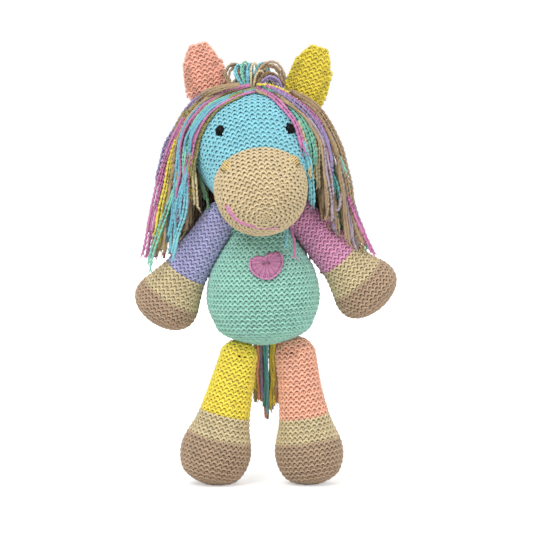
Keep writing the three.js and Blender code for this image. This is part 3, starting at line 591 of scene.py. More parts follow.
def strands(name, lines, look, twist=420.0):
    """Strands of yarn: each line is (points, thickness or half widths, tint, shade)."""
    corners, edges, thick, tints, shades = [], [], [], [], []
    for path, width, tint, shade in lines:
        start, count = len(corners), len(path)
        corners += path
        edges += [(start + i, start + i + 1) for i in range(count - 1)]
        thick += width if isinstance(width, list) else [width / 2] * count
        tints += [tint] * count
        shades += [shade] * count
    source = new_object(name + "_lines", corners, edges=edges, attributes=[
        ("thick", "FLOAT", thick), ("tint", "FLOAT_COLOR", tints), ("shade", "FLOAT", shades)])
    return grown(name, source, strand_tree(), {"Plies": 3, "Ply Depth": 0.68, "Twist": twist, "Yarn": look})


def seated(made, body, slot, *nodes, fill=None):
    """Attaches a finished piece to what it rides on and hides the nodes it stands for; its slot and fill are not used.
    """
    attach(made, body)
    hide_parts(*nodes)


WALL_OUTER, WALL_INNER, STITCH_RISE = 1.25 * MM, 2.7 * MM, -0.55 * MM


def cover_piece(name, cover, start, stop, look, node, body, slot, seed, sign=-1):
    """One cover between two shares of its form, in place of its node."""
    made = crocheted(name, cover.stitches(start, stop, sign), cover.wall(start, stop, WALL_OUTER, WALL_INNER),
                     look, seed, STITCH_RISE)
    for corner in made.data.vertices:
        corner.co.z = max(corner.co.z, 0)
    seated(made, body, slot, node, fill=0.85)


# ---------------------------------------------------------------- the forms of this horse

def arc(radius, degrees):
    """Knots of a ball from its pole: (distance along the axis, radius) at each angle."""
    return [(-radius * math.cos(math.radians(a)), radius * math.sin(math.radians(a))) for a in degrees]


def scaled(knots, length, radius):
    """Knots given as shares of a length and of a radius."""
    return [(length * a, radius * r) for a, r in knots]


HEAD_RADIUS, MUZZLE_LENGTH, MUZZLE_RADIUS = 51, 88.4, 38.6
PITCH, YAW = math.radians(40), math.radians(7)
MUZZLE_AXIS = Vector((math.cos(PITCH) * math.sin(YAW), -math.cos(PITCH) * math.cos(YAW), -math.sin(PITCH)))
HEAD_FORM = RoundForm(
    [(-HEAD_RADIUS, 0)] + arc(HEAD_RADIUS, (45, 75, 100))
    + scaled(((0.45, 1.01), (0.595, 0.995), (0.77, 0.905), (0.885, 0.705), (0.968, 0.4)), MUZZLE_LENGTH, MUZZLE_RADIUS)
    + [(MUZZLE_LENGTH, 0)])
BODY_HEIGHT, BODY_RADIUS, BODY_LEAN = 115.6, 47.9, math.radians(2.2)
BODY_FORM = RoundForm(
    scaled(((0, 0), (0.08, 0.697), (0.191, 0.896), (0.345, 1), (0.536, 0.929), (0.669, 0.766), (0.83, 0.535),
            (0.94, 0.449), (1.03, 0.449), (1.1, 0.449)), BODY_HEIGHT, BODY_RADIUS)
    + [(BODY_HEIGHT * 1.1 + 0.3, 0)])
BODY_AXIS = Vector((-math.sin(BODY_LEAN), 0, math.cos(BODY_LEAN)))
# Knots are shares of a limb's length and half its width; marks are where its colours change.
ARM = dict(hinge="arm_{}_spread", upper="sleeve", ball=14, marked=108, core=0.74, knots=(
    (0.18, 0.54), (0.36, 0.62), (0.52, 0.67), (0.66, 0.83), (0.78, 0.985), (0.88, 0.95), (0.96, 0.64)))
LEG = dict(hinge="leg_{}_flex", upper="upper", length=111.7, marked=111.7, core=0.72, knots=(
    (0.22, 0.615), (0.39, 0.69), (0.52, 0.78), (0.63, 0.92), (0.74, 1), (0.86, 0.92), (0.95, 0.66)))
LIMBS = {
    ("arm", "left"): dict(
        ARM, length=108, width=56, marks=(0.509, 0.722), tilt=32, back=13, yarn="lilac", seed=31),
    ("arm", "right"): dict(ARM, length=108 * 0.981, width=56 * 1.018, marks=(0.462, 0.67), tilt=41, back=11,
                           yarn="pink", seed=38),
    ("leg", "left"): dict(LEG, ball=16, width=59.5, marks=(0.436, 0.618), tilt=13.5, yarn="yellow", seed=51),
    ("leg", "right"): dict(LEG, ball=16 * 1.075, width=59.5 * 0.966, marks=(0.445, 0.632), tilt=8,
                           yarn="peach", seed=58),
}
SOLE = 0.5 * MM


class Limb:
    """An arm or a leg: its hinge, its axis and its form, which widens to a round hoof."""

    def __init__(self, kind, side):
        self.name, self.own = f"{kind}_{side}", LIMBS[kind, side]
        self.hinge = pivot(self.own["hinge"].format(side))
        self.length = self.own["length"]
        tilt, back = math.radians(self.own["tilt"]), math.radians(self.own.get("back", 0))
        if kind == "arm":
            self.axis = Vector((SIDES[side] * math.tan(tilt), math.sin(back), -math.cos(back))).normalized()
            self.form = self.shaped()
        else:
            self.axis = Vector((SIDES[side] * math.sin(tilt), 0, -math.cos(tilt)))
            self.reach_ground()

    def shaped(self):
        """The form at the present length."""
        own = self.own
        return RoundForm(arc(own["ball"], (0, 35, 70, 95)) + scaled(own["knots"], self.length, own["width"] / 2)
                         + [(self.length, 0)])

    def reach_ground(self):
        """Makes a leg long enough for its sole to reach the ground."""
        lean = math.hypot(self.axis.x, self.axis.y)
        for _ in range(6):
            self.form = self.shaped()
            low = min(self.hinge.z + self.axis.z * a - lean * r for a, r in self.form.outline)
            self.length += (low + SOLE) / MM

    def crochet(self, yarns):
        """The covers of the upper part, the cuff and the hoof."""
        own, name = self.own, self.name
        nodes = [f"{name}_{part}" for part in (own["upper"], "cuff", "hoof", "stuffing")]
        cover = Cover(self.form, self.hinge, self.axis, nodes, 0, self.length * own["core"] * MM)
        cuff, hoof = (self.form.share_at(mark * own["marked"] * MM) for mark in own["marks"])
        tone = own["yarn"] + "_yarn"
        for part, start, stop, look, rgba, slot in (
                (own["upper"], 0, cuff, tone, getattr(yarns, own["yarn"]), tone),
                ("cuff", cuff, hoof, "cuff_yarn", yarns.cuff, "oat_yarn"),
                ("hoof", hoof, 1, "hoof_yarn", yarns.hoof, "hoof_yarn")):
            cover_piece(f"{name}_{part}_crochet", cover, start, stop, wool(look, rgba), f"{name}_{part}", name,
                        slot, own["seed"] + len(part))


# ---------------------------------------------------------------- pieces

class HORSE_OT_head(bpy.types.Operator):
    """Crochets the head and the muzzle in rounds that start at the tip of the muzzle"""
    bl_idname = "horse.head"
    bl_label = "Head and muzzle"

    def execute(self, context):
        yarns = context.scene.horse_yarns
        cover = Cover(HEAD_FORM, HEAD, MUZZLE_AXIS, high=50 * MM)
        change = HEAD_FORM.share_at(40 * MM)
        cover_piece("head_crochet", cover, 0, change, wool("head_yarn", yarns.head), "head_cover",
                    "head", "head_yarn", 11)
        cover_piece("muzzle_crochet", cover, change, 1, wool("oat_yarn", yarns.muzzle), "muzzle_cover",
                    "head", "oat_yarn", 12)
        return {"FINISHED"}


class HORSE_OT_body(bpy.types.Operator):
    """Crochets the body in rounds from the seat up to the neck"""
    bl_idname = "horse.body"
    bl_label = "Body"

    def execute(self, context):
        cover = Cover(BODY_FORM, SEAT, BODY_AXIS, ["body_cover", "body_stuffing", "neck_stuffing"],
                      30 * MM, 88 * MM)
        cover_piece("body_crochet", cover, 0, 1, wool("body_yarn", context.scene.horse_yarns.body),
                    "body_cover", "body", "body_yarn", 21, sign=1)
        return {"FINISHED"}


class HORSE_OT_arms(bpy.types.Operator):
    """Crochets both arms: a sleeve, a cuff and a hoof each"""
    bl_idname = "horse.arms"
    bl_label = "Arms"

    def execute(self, context):
        for side in SIDES:
            Limb("arm", side).crochet(context.scene.horse_yarns)
        return {"FINISHED"}


class HORSE_OT_legs(bpy.types.Operator):
    """Crochets both legs: an upper, a cuff and a hoof each"""
    bl_idname = "horse.legs"
    bl_label = "Legs"

    def execute(self, context):
        for side in SIDES:
            Limb("leg", side).crochet(context.scene.horse_yarns)
        return {"FINISHED"}


class EarLeaf:
    """The leaf of an ear: flat, cupped to the front, with rounded edges."""
    outline = ((0.02, 0.7), (0.1, 0.76), (0.28, 0.95), (0.5, 1.0), (0.7, 0.9), (0.86, 0.68), (0.96, 0.42), (1.0, 0.0))
    length, half_width, half_depth, cup = 63.5, 18.5 * MM, 3.3 * MM, 5.2 * MM
    foot = 0.13
    levels = (0.06, 0.16, 0.28, 0.4, 0.52, 0.64, 0.75, 0.85, 0.92, 0.965)
    leans = {"left": -14, "right": 17}

    def __init__(self, side):
        lean = math.radians(self.leans[side])
        self.along = Vector((math.sin(lean), 0, math.cos(lean)))
        self.across = Vector((math.cos(lean), 0, -math.sin(lean)))
        self.start = pivot(f"ear_{side}_flop") - self.along * 8 * MM

    def width(self, share):
        """The share of the full width at a share of the length."""
        for (a, v), (b, w) in zip(self.outline, self.outline[1:]):
            if share <= b:
                t = (share - a) / (b - a)
                if b == 1.0:
                    return v * math.sqrt(max(0, 1 - t * t))
                t = t * t * (3 - 2 * t) if b < 0.3 else t
                return v + (w - v) * t
        return 0

    def place(self, share, turn, inset=0.0):
        """A point of the leaf, or one under it by inset."""
        share = held(share, 0.02)
        angle = 2 * math.pi * turn
        width = self.width(share)
        half = max(self.half_width * width - inset, 0)
        thick = max(self.half_depth * min(1, width * 2.4) - inset, 0.1 * MM)
        bend = math.copysign(abs(math.cos(angle)) ** 0.8, math.cos(angle))
        return (self.middle(share) + self.across * half * bend
                + BACK * (thick * math.sin(angle) - self.cup * width * math.cos(angle) ** 2))

    def middle(self, share):
        """A point of the middle line."""
        return self.start + self.along * (self.length * share) * MM

    def stitches(self, sizes):
        """The stitches, which lie lower along the edges and at the tip."""
        rows = round((1 - self.foot) * self.length * MM / sizes.row_height)
        found = []
        for row in range(rows):
            share = self.foot + (1 - self.foot) * (row + 0.5) / rows

            def inset(turn):
                edge = max(0, abs(math.cos(2 * math.pi * turn)) - 0.8) / 0.2
                return 1.1 * MM * max(edge, (share - 0.9) * 8)

            away = BACK * 2 * MM - self.middle(share)
            found += [(here, facing(across, up, here + away), up, (wide, 1.0)) for here, across, up, wide in
                      stitched_round(self.place, share, 0.02, sizes.stitch_width, row * 0.23, 72, 5, 1, inset)]
        return found

    def wall(self, sides=32):
        """The backing, as corners and faces."""
        corners = [self.place(share, k / sides, 1.3 * MM) for share in self.levels for k in range(sides)]
        corners += [self.start + self.along * 2 * MM, self.start + self.along * (self.length - 1.4) * MM]
        return corners, skin(len(self.levels), sides, flip=True)


class HORSE_OT_ears(bpy.types.Operator):
    """Crochets both ears"""
    bl_idname = "horse.ears"
    bl_label = "Ears"

    def execute(self, context):
        yarns, sizes = context.scene.horse_yarns, context.scene.horse_sizes
        for side, rgba, slot, seed in (("left", yarns.ear_left, "peach_yarn", 71),
                                       ("right", yarns.ear_right, "yellow_yarn", 72)):
            leaf, ear = EarLeaf(side), f"ear_{side}"
            made = crocheted(ear + "_crochet", leaf.stitches(sizes), leaf.wall(), wool(ear + "_yarn", rgba),
                             seed, -0.75 * MM)
            seated(made, ear, slot, ear, fill=0.3)
        return {"FINISHED"}


# The heart's outline as cubic curves, from its notch; its size in mm; and the notch where its rounds begin.
HEART_START = (0, 0.27)
HEART_CURVES = (
    ((0.12, 0.56), (0.98, 0.62), (1, 0.12)),
    ((1, -0.18), (0.46, -0.47), (0, -0.48)),
    ((-0.46, -0.47), (-1, -0.18), (-1, 0.12)),
    ((-0.98, 0.62), (-0.12, 0.56), (0, 0.27)),
)
HEART_HALF, HEART_TALL, HEART_UP = 14.3, 23.4, 1.4
HEART_NOTCH, HEART_ROLL = Vector((0, 4.5)), math.radians(14)
# Spokes: share of the way out, lift and width in mm; then painted shade that darkens the spokes in turn to draw the
# grooves between them.
SPOKE = ((0.1, -0.6, 0.4), (0.3, 0.1, 0.7), (0.55, 0.3, 0.95), (0.8, 0.1, 1.15), (0.97, -0.4, 1.2))
SPOKE_PAINTED_SHADES = (0.7, 0.97, 0.88)


def bezier(start, curves, steps=10):
    """Points of a closed outline made of cubic curves."""
    points, here = [], Vector(start)
    for a, b, c in (map(Vector, curve) for curve in curves):
        for t in (i / steps for i in range(steps)):
            points.append(here * (1 - t) ** 3 + a * 3 * t * (1 - t) ** 2 + b * 3 * t * t * (1 - t) + c * t ** 3)
        here = c
    return points


class HORSE_OT_heart(bpy.types.Operator):
    """Crochets the heart in rounds about its notch and sews it on the chest"""
    bl_idname = "horse.heart"
    bl_label = "Heart"

    def execute(self, context):
        tree = tree_of(["heart"])
        flat = [Vector((p.x * HEART_HALF, p.y * HEART_TALL + HEART_UP)) for p in bezier(HEART_START, HEART_CURVES)]

        def chest(point, share, lift):
            x, z = HEART_NOTCH + (point - HEART_NOTCH) * share
            cos, sin = math.cos(HEART_ROLL), math.sin(HEART_ROLL)
            start = SEAT + Vector((x * cos - z * sin + 2, -120, x * sin + z * cos + 68)) * MM
            hit = tree.ray_cast(start, BACK)
            if hit[0] is None:
                return tree.find_nearest(start + BACK * 75 * MM)[0] - BACK * lift * MM
            return hit[0] + hit[1] * lift * MM

        chance = random.Random(81)
        tint = tuple(context.scene.horse_yarns.heart)
        reach = reaches(flat)
        lines, count = [], round(reach[-1] / 2)
        for k in range(count):
            j, part = span_at(reach, (k + 0.5) / count * reach[-1])
            rim = flat[j].lerp(flat[(j + 1) % len(flat)], part)
            lines.append(([chest(rim, share, lift) for share, lift, _ in SPOKE], [w * MM for _, _, w in SPOKE],
                          tint, SPOKE_PAINTED_SHADES[k % 3] + chance.uniform(-0.04, 0.04)))
        rim = [chest(p, 0.96, 0.5) for p in flat]
        lines.append((rim + rim[:1], 2.3 * MM, tint, 1.08))
        look = wool("heart_yarn")
        made = strands("heart_crochet", lines, look, twist=500)
        backing = [chest(p, 0.97, -0.6) for p in flat] + [chest(HEART_NOTCH, 0, -0.6)]
        backing += [c + BACK * MM for c in backing]
        count = len(flat)
        faces = [[k, (k + 1) % count, count] for k in range(count)]
        faces += [[count + 1 + c for c in reversed(face)] for face in faces]
        faces += [[k, count + 1 + k, count + 1 + (k + 1) % count, (k + 1) % count] for k in range(count)]
        # Painted shade: the backing is darkened to 0.55 where it shows between the strands.
        cloth = new_object("heart_backing", backing, faces, attributes=[
            ("tint", "FLOAT_COLOR", [tint] * len(backing)), ("shade", "FLOAT", [0.55] * len(backing))])
        cloth.data.materials.append(look)
        with context.temp_override(active_object=made, selected_editable_objects=[made, cloth]):
            bpy.ops.object.join()
        seated(made, "body", "heart_yarn", "heart", fill=0.2)
        return {"FINISHED"}


def face_point(aside, height):
    """The front of the head at a place given from its middle in mm, and the normal there."""

    def parts(depth):
        offset = Vector((aside * MM, -depth, height * MM))
        along = offset.dot(MUZZLE_AXIS)
        return offset, along, offset - MUZZLE_AXIS * along

    low, high = 0.0, 140 * MM
    while high - low > 0.02 * MM:
        middle = (low + high) / 2
        _, along, radial = parts(middle)
        inside = -HEAD_RADIUS * MM < along < MUZZLE_LENGTH * MM and radial.length < HEAD_FORM.radius_at(along)
        low, high = (middle, high) if inside else (low, middle)
    offset, along, radial = parts(low)
    share = HEAD_FORM.share_at(along)
    (a, r), (b, q) = HEAD_FORM.at(share - 0.01), HEAD_FORM.at(share + 0.01)
    return HEAD + offset, (radial.normalized() * (b - a) - MUZZLE_AXIS * (q - r)).normalized()


# Eyes and nostrils: side, then mm beside and above the middle of the head.
EYES = (("left", -28.8, 15.4), ("right", 28.7, 16.9))
NOSTRILS = (("left", -23.6, -13.4, 0.3), ("right", 32.4, -9, -0.3))
DOME = ((1.0, -0.5), (1.0, 0.12), (0.96, 0.32), (0.86, 0.52), (0.7, 0.7), (0.5, 0.82), (0.26, 0.9))
DOME_TALL, DOME_SIDES = 4.2 * MM, 28
MOUTH = ((-23, -45.5), (-19.6, -51.5), (-15, -57), (-9, -60.5), (-2, -63), (8, -64.6), (20, -64), (31.5, -61))


def eye_plastic():
    """Black plastic with a fine wear in its gloss."""
    made, add, shader = new_material("eye_plastic")
    place = add("ShaderNodeTexCoord")["Object"]
    wear = add("ShaderNodeTexNoise", {"Vector": place, "Scale": 900})["Fac"]
    gloss = add("ShaderNodeMapRange", {"Value": wear, "To Min": 0.32, "To Max": 0.42})["Result"]
    tone = add("ShaderNodeMix", {0: wear, 6: (0.001, 0.001, 0.001, 1), 7: (0.002, 0.002, 0.002, 1)},
               data_type="RGBA")[2]
    add(shader, {"Specular IOR Level": 0.12, "Roughness": gloss, "Base Color": tone})
    return made


class HORSE_OT_face(bpy.types.Operator):
    """Sets the eyes and sews the nostrils and the mouth"""
    bl_idname = "horse.face"
    bl_label = "Eyes, nostrils and mouth"

    def eye(self, side, aside, height, width, look):
        base, normal = face_point(aside, height)
        first = normal.cross(UP).normalized()
        second = normal.cross(first) * 1.14
        corners = [base + around(first, second, angle) * reach * width / 2 + normal * rise * DOME_TALL
                   for reach, rise in DOME for angle in full_turn(DOME_SIDES)]
        corners += [base - normal * DOME_TALL / 2, base + normal * 0.93 * DOME_TALL]
        made = new_object(f"eye_{side}_dome", corners, skin(len(DOME), DOME_SIDES))
        made.data.materials.append(look)
        for face in made.data.polygons:
            face.use_smooth = True
        seated(made, "head", "eye", f"eye_{side}")

    def nostril(self, side, aside, height, lean, tint, chance):
        base, normal = face_point(aside, height)
        flat = normal.cross(UP).normalized()
        upright = flat.cross(normal)
        first, second = around(flat, upright, lean), around(upright, -flat, lean)
        lines = []
        for at in (-3.4, -1.7, 0, 1.7, 3.4):
            half = 6 * math.sqrt(1 - (at / 4.8) ** 2)
            points = [base + (first * half * t + second * (at + 0.4 * t)) * MM
                      + normal * (3.6 * (1 - t * t) * (1.2 - abs(at) * 0.14) - 0.7) * MM
                      for t in (-1.1, -0.75, -0.3, 0.3, 0.75, 1.1)]
            lines.append((points, 2.1 * MM, tint, chance.uniform(0.92, 1.06)))
        # Painted shadow: a brown strand, darkened to 0.6, lies under each nostril where its bump shades the muzzle.
        points = [base + (first * 5 * t - second * (5.2 - 1.2 * t * t) + normal * 0.5) * MM
                  for t in (-1, -0.6, -0.2, 0.2, 0.6, 1)]
        lines.append((points, 1.1 * MM, HAIR["brown"], 0.6))
        seated(strands(f"nostril_{side}_stitches", lines, wool("oat_strand", drift=0.1)), "head", "oat_yarn",
               f"nostril_{side}")

    def mouth(self, tint):
        """Three threads side by side, and a dark strand at the muzzle's tip as painted shade in the hole where the
        rounds start.
        """
        tip = HEAD + MUZZLE_AXIS * MUZZLE_LENGTH * MM
        # Painted shade: a brown strand darkened to 0.3 fills the hole at the tip of the muzzle.
        lines = [([tip - MUZZLE_AXIS * s * MM for s in (1.6, 1.2, 0.7, 0.1)], 2.2 * MM, HAIR["brown"], 0.3)]
        seats = [face_point(aside, height) for aside, height in MOUTH]
        for k, many in ((-1, 5), (0, 8), (1, 6)):
            points = []
            for (p, n), (q, _) in zip(seats, seats[1:many]):
                across = n.cross(q - p).normalized()
                points.append(p + n * (0.75 - 0.15 * abs(k)) * MM + across * k * 1.45 * MM)
            end, normal = seats[many - 1]
            points.append(end + normal * 0.2 * MM)
            count = 6 * len(points)
            width = [(1.0 - 0.55 * i / (count - 1)) * 1.05 * MM for i in range(count)]
            lines.append((eased(points, count), width, tint, 1.0))
        seated(strands("mouth_thread", lines, wool("mouth_yarn", drift=0.1), twist=700), "head", "mouth_thread",
               "mouth_stitch")

    def execute(self, context):
        yarns, width = context.scene.horse_yarns, context.scene.horse_sizes.eye
        look = eye_plastic()
        for side, aside, height in EYES:
            self.eye(side, aside, height, width, look)
        chance = random.Random(5)
        for side, aside, height, lean in NOSTRILS:
            self.nostril(side, aside, height, lean, tuple(yarns.nostril), chance)
        self.mouth(tuple(yarns.mouth))
        return {"FINISHED"}


# ---------------------------------------------------------------- mane and tail

HAIR = {name: colour(text) for name, text in {
    "taupe": "b89d7a", "cream": "dccb9f", "olive": "a39a5e", "pink": "d284b4", "rose": "c0717f",
    "lilac": "a391bf", "blue": "7fc4d6", "sky": "8fd8e4", "mint": "8fd6bd", "teal": "5fb7b0",
    "yellow": "ead75a", "peach": "f0a585", "brown": "9a7d5c", "fog": "b9a9b4", "green": "6f9a72"}.items()}
PALETTES = {
    "left": ("taupe", "pink", "taupe", "lilac", "cream", "taupe", "mint", "rose", "taupe", "blue", "brown",
             "fog", "taupe", "olive", "cream", "yellow", "taupe"),
    "right": ("taupe", "cream", "taupe", "mint", "brown", "taupe", "pink", "taupe", "cream", "fog", "taupe",
              "teal", "taupe", "lilac", "cream", "brown", "taupe")}
# How far the mane stands off the head, in mm, at degrees from the face round to the back.
BULK = ((40, 8), (62, 10), (78, 15), (92, 22), (110, 25), (128, 29), (150, 23), (180, 15))
HEAD_BONE = (HEAD, MUZZLE_AXIS, HEAD_FORM)
STRAND_STEP, SWAY = 3.4 * MM, 2.9 * MM


def pushed_out(path, bones, gap):
    """Moves every point of a strand that lies inside a limb, the body or the head to its surface."""
    moved = []
    for here in path:
        for base, axis, form in bones:
            offset = here - base
            along = offset.dot(axis)
            if form.outline[0][0] < along < form.outline[-1][0]:
                radial = offset - axis * along
                need = form.radius_at(along) + gap
                if 1e-6 < radial.length < need:
                    here = base + axis * along + radial.normalized() * need
        moved.append(here)
    return moved


def bulk(azimuth):
    """How far the mane stands off the head at an angle from the face."""
    for (a, v), (b, w) in zip(BULK, BULK[1:]):
        if azimuth <= b:
            return v + (w - v) * max(0, azimuth - a) / (b - a)
    return BULK[-1][1]


def hair_path(sign, root, settle, haste, share, leave, end, chance):
    """A strand over the head: from its knot on the middle line, round the ball to one side, and down.

    Angles are in degrees: root from the crown, settle from the face, leave where it falls free.
    Its share says how far out its layer lies.
    """
    start = polar = abs(root)
    layer = bulk(settle) * share
    flare = 0.03 + share * (0.03 + 0.2 * math.exp(-((settle - 112) / 24) ** 2))
    leave = max(leave, polar + 14)
    first = 0.0 if root < 0 else 180.0
    slope = 0.6 if settle > 108 else 0.9 if sign < 0 else 1.6
    wobble = chance.uniform(0, 100)
    path = []
    while polar < leave:
        azimuth = settle + (first - settle) * math.exp(-(polar - start) / haste)
        grow = min(1, 0.1 + (polar - start) / 36) * min(1, (polar / 98) ** slope)
        reach = (HEAD_RADIUS + 2.4 + layer * grow) * MM
        p, a = math.radians(polar), math.radians(azimuth)
        path.append(HEAD + Vector((sign * math.sin(p) * math.sin(a), -math.sin(p) * math.cos(a), math.cos(p))) * reach)
        polar += math.degrees(STRAND_STEP / reach)
    heading = (path[-1] - path[-3]).normalized()
    a = math.radians(settle)
    pull = Vector((sign * math.sin(a), -math.cos(a), 0)) * flare - UP
    while path[-1].z > end:
        heading = (heading * 0.84 + pull * 0.16).normalized()
        path.append(path[-1] + heading * STRAND_STEP)
    for i, point in enumerate(path):
        sway = noise.noise_vector(Vector((wobble, i * 0.15, sign * 3.0)))
        path[i] = point + Vector((sway.x, sway.y, sway.z * 0.3)) * SWAY * min(1, i / 14)
    return path


def traced(points, lift=3.0):
    """A strand through places in the front view, (column, row) over the head or with mm before its middle."""
    path = []
    for across, down, *before in points:
        x, z = seen_at(across, down)
        over = math.sqrt(max(((HEAD_RADIUS + lift) * MM) ** 2 - (x - HEAD.x) ** 2 - (z - HEAD.z) ** 2, 0))
        path.append(Vector((x, HEAD.y - (before[0] * MM if before else over), z)))
    return eased(path, max(6, round(reaches(path, closed=False)[-1] / (3 * MM))))


def beside(path, aside, deeper, chance, trim=0):
    """The same strand moved a little to one side, cut shorter by a few points."""
    path = path[:len(path) - trim]
    wobble, last = chance.uniform(0, 50), len(path) - 1
    moved = []
    for i, here in enumerate(path):
        way = (path[min(i + 1, last)] - path[max(i - 1, 0)]).normalized()
        grow = min(1, 0.25 + i / 9)
        sway = noise.noise_vector(Vector((wobble, i * 0.13, 5.0))) * 1.3 * MM * min(1, i / 8)
        moved.append(here + (way.cross(-BACK).normalized() * aside + BACK * deeper) * MM * grow + sway)
    return moved


def keep_off(path, bones):
    """Eases a strand round what it hangs over."""
    return pushed_out(smoothed(pushed_out(path, bones, 2.4 * MM), 3), bones, 1.9 * MM)


def cut_at_sleeve(path, bone):
    """Ends a strand where it has come a little way over the front of a sleeve."""
    base, axis, form = bone
    flat = Vector((axis.z, 0, -axis.x)).normalized()
    for i, here in enumerate(path):
        offset = here - base
        along = offset.dot(axis)
        inside = form.radius_at(held(along, form.outline[0][0], form.outline[-1][0])) - abs(offset.dot(flat))
        if i > 20 and along > 12 * MM and inside > 4 * MM and here.y < base.y:
            return path[:i]
    return path


def frayed(path, thickness):
    """Half widths of a strand: full, and a little loose at its cut end."""
    return [thickness / 2 * loose for loose in ([1] * len(path) + [1.08, 1.18, 1.1, 0.8])[-len(path):]]


def end_wisps(path, tint, chance, many=5):
    """The untwisted plies that stand out of a cut end."""
    tip, before = path[-1], path[-4]
    way, start = (tip - before).normalized(), before.lerp(tip, 0.6)
    lines = []
    for _ in range(many):
        side = Vector((chance.uniform(-1, 1), chance.uniform(-1, 1), chance.uniform(-0.3, 0.3))) * 0.35
        reach = chance.uniform(3, 6.5) * MM
        points = [start + (way + side * bend) * reach * out
                  for bend, out in ((0, 0), (0.5, 0.6), (1, 1), (1.4, 1.3))]
        lines.append((points, [w * MM for w in (0.55, 0.5, 0.4, 0.2)], tint, 1.1))
    return lines


# Locks that lie in front: side, yarn, strands in the lock, how high they lie, then places along them.
LOCKS = (
    ("left", "olive", 3, 3, ((254, 89), (240, 97), (226, 104), (214, 114), (204, 129), (198, 146), (193, 163, 27),
                             (192, 184, 22))),
    ("left", "taupe", 4, 4, ((252, 88), (236, 94), (217, 104), (203, 119), (195, 134), (186, 152), (178, 168, 14),
                             (174, 184, 12))),
    ("left", "pink", 2, 7, ((250, 86), (228, 93), (211, 103), (199, 116), (190, 129), (184, 145), (180, 166, 10),
                            (178, 188, 10))),
    ("left", "blue", 2, 7, ((249, 85), (236, 86), (222, 91), (208, 100), (196, 112), (186, 126, 16))),
    ("left", "cream", 2, 4, ((200, 132), (195, 148), (194, 168, 24), (196, 190, 22), (197, 208, 21))),
    ("left", "taupe", 3, 14, ((240, 86), (212, 92), (194, 105), (181, 124, 4), (174, 146, 2), (170, 170, 2),
                              (166, 196, 3))),
    ("left", "lilac", 3, 20, ((206, 92, 16), (190, 108, 6), (178, 127, 2), (167, 146, 0), (162, 166, 0),
                              (158, 188, 0))),
    ("left", "pink", 3, 20, ((184, 118, 10), (170, 150, 6), (161, 178, 4), (155, 204, 4), (149, 236, 4),
                             (146, 252, 4))),
    ("left", "yellow", 2, 20, ((176, 140, 12), (170, 164, 10), (166, 186, 9), (161, 209, 9), (157, 236, 10))),
    ("left", "mint", 2, 20, ((178, 180, 13), (169, 205, 13), (161, 227, 14), (154, 249, 14), (150, 266, 14))),
    ("left", "sky", 2, 20, ((186, 166, 20), (187, 184, 24), (187, 200, 26), (184, 218, 28), (178, 235, 30),
                            (173, 256, 31))),
    ("left", "blue", 3, 20, ((185, 180, 22), (181, 198, 24), (179, 213, 26))),
    ("left", "green", 2, 20, ((200, 176, 8), (205, 192, 10), (208, 206, 12))),
    ("right", "pink", 2, 4, ((256, 87), (265, 93), (275, 100), (286, 112), (294, 123), (299, 136), (302, 152))),
    ("right", "mint", 4, 4, ((262, 88), (276, 95), (289, 105), (300, 118), (307, 131), (311, 148), (312, 163))),
    ("right", "yellow", 1, 8, ((257, 86), (266, 86), (276, 88), (286, 92), (298, 99))),
    ("right", "pink", 2, 10, ((266, 87), (282, 93), (298, 103), (311, 114), (320, 126), (326, 142), (329, 159, 2))),
    ("right", "lilac", 2, 10, ((272, 90), (290, 100), (306, 113), (317, 128), (322, 144), (325, 162, 4))),
    ("right", "cream", 3, 7, ((276, 94), (291, 104), (304, 116), (313, 130), (316, 149), (316, 167, 22),
                              (317, 184, 20))),
    ("right", "cream", 2, 4, ((297, 122), (302, 136), (305, 150), (308, 163), (309, 175, 30))),
    ("right", "sky", 3, 5, ((303, 142), (306, 156), (309, 172, 28), (311, 188, 25), (311, 204, 24))),
    ("right", "teal", 4, 12, ((312, 140, 18), (321, 156, 14), (327, 170, 13), (332, 182, 13), (334, 195, 14))),
    ("right", "taupe", 4, 18, ((290, 92, 24), (312, 105, 12), (326, 123, 6), (335, 142, 4), (341, 160, 2),
                               (347, 182, 2), (350, 203, 2), (357, 226, 2), (366, 248, 2))),
    ("right", "mint", 2, 18, ((330, 140, 4), (343, 168, 2), (352, 200, 0), (360, 228, 0), (367, 246, 0))),
    ("right", "pink", 2, 18, ((348, 196, 4), (356, 216, 4), (365, 236, 4), (373, 254, 4))),
    ("right", "fog", 1, 18, ((326, 176, 16), (329, 192, 18), (331, 204, 20), (335, 211, 21), (339, 207, 20),
                             (339, 196, 18))),
    ("right", "sky", 1, 3, ((286, 216, 8), (287, 226, 27), (285, 243, 33))),
    ("right", "pink", 1, 3, ((289, 216, 8), (290, 228, 27), (294, 240, 31), (295, 254, 36))),
)


